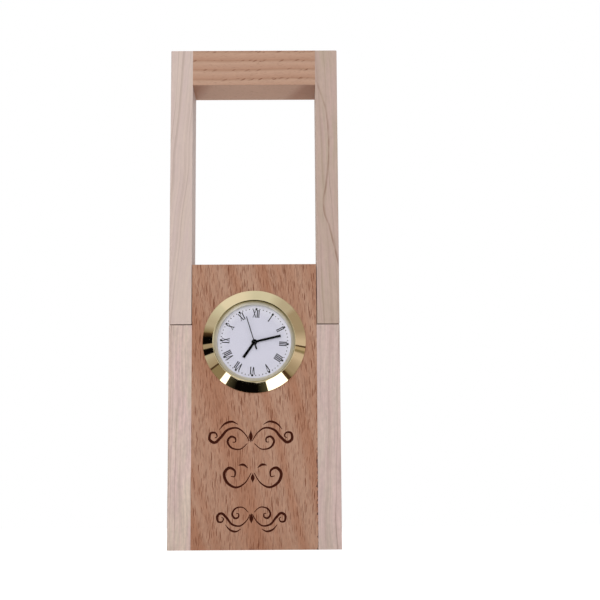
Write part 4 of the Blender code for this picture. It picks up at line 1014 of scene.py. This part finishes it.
def make_finishes():
    """The finishes of the CAD nodes, most of them by the name of a slot in the record."""
    return {
        # Planed maple, one board each: pale and pinkish, and each with rings of its own
        "arm_left": planed_maple("planed_maple", "#CFBAB3", "#D4C0B5", "#AF998D",
                                 contrast=0.06, spacing=2.3, lean=-0.09, seed=20.0),
        "rail_left": planed_maple("planed_maple_low", "#D3B8B2", "#D2BEB0", "#8F7060",
                                  contrast=0.2, spacing=1.7, lean=-0.02, seed=40.0),
        "rail_right": planed_maple("planed_maple_pink", "#CEB4AE", "#CAB6AB", "#967A6D",
                                   contrast=0.16, spacing=2.0, lean=-0.02, seed=75.0),
        "arm_right": planed_maple("planed_maple_brown", "#C1A79D", "#BAA594", "#8C6F60",
                                  contrast=0.09, spacing=3.0, lean=0.05, seed=110.0,
                                  figure=ARM_FIGURE),
        "bar": beech_bar(),
        "beech": beech_panel(),
        # Turned from straight maple: yellower, with close rings
        "dowel_wood": planed_maple("turned_dowel", "#C8A078", "#D8B48C", "#B08860",
                                   contrast=0.08, spacing=1.1, seed=9.0),
        # Ground and stamped steel: grey, with a blurred shine
        "pin_steel": plated("ground_steel", "#B8B8BC", "#A0A0A6", 0.28, 0.000004),
        "movement_steel": plated("stamped_steel", "#B4B4B8", "#9A9AA0", 0.32, 0.000006),
        # Stamped brass: yellow, with a blurred shine
        "contact_brass": plated("stamped_brass", "#C9A868", "#B8925A", 0.30, 0.000006),
        # Moulded styrene and acetal: a soft shine on near black and on cream
        "black_plastic": moulded("black_styrene", "#1A1A1B", "#222224", 0.42, 0.00001),
        "white_plastic": moulded("white_acetal", "#E6E5DF", "#D9D8D0", 0.38, 0.000006),
        # Moulded rubber: black and dull
        "band_rubber": moulded("black_rubber", "#1E1E1E", "#2A2A2A", 0.75, 0.00002),
        # Dull lacquer: hands that read as flat black
        "black_hands": moulded("black_lacquer", "#020203", "#050507", 0.5, 0.000004, 0.0),
        # Solder mask over glass fibre: dark green, with a fair shine
        "circuit_fibre": moulded("green_solder_mask", "#1E4A2A", "#2A5C36", 0.35, 0.00001),
        "copper_wire": enamelled_copper(),
        "clear_lens": clear_acrylic(),
        # Turned and polished brass: a clear mirror, with a pale gold tint
        "polished_brass": plated("polished_brass", "#E3D4B1", "#DFCFAB", 0.04, 0.0000004),
        "dial_enamel": dial_lacquer(),
    }


# Nodes that take another finish than the one their slot names
OWN_FINISH = {
    "lower_rail_left": "rail_left", "frame_arm_left": "arm_left",
    "lower_rail_right": "rail_right", "frame_arm_right": "arm_right",
    "frame_top_bar": "bar", "dial_ring": "white_plastic",
    "hour_wheel": "black_plastic", "minute_pipe": "black_hands",
}


def finish_nodes(finishes):
    """Give every CAD node its finish."""
    slots = {row["node"]: row["material_slot"] for row in frame["record"]["subparts"]}
    for name, node in nodes.items():
        node.data.materials.clear()
        node.data.materials.append(finishes[OWN_FINISH.get(name, slots[name])])


bpy.context.scene.view_settings.view_transform = "Standard"
finishes = make_finishes()
finish_nodes(finishes)
make_panel(finishes["beech"], burnt_beech())
make_bezel(finishes["polished_brass"], satin_cove())
make_dial(finishes["dial_enamel"])
# Printing ink: flat black
make_print(moulded("dial_ink", "#020203", "#050507", 0.6, 0.000002, 0.0))
make_floor()
make_world()
make_surroundings()
# The key light stands in front, above and a little left; the back light higher up behind
make_lamp("key", (-0.1, -1.08, 0.27), MIDDLE, 0.5, 3.7)
make_lamp("back", (-0.3, 1.05, 0.5), MIDDLE, 0.8, 3.6)
make_camera()
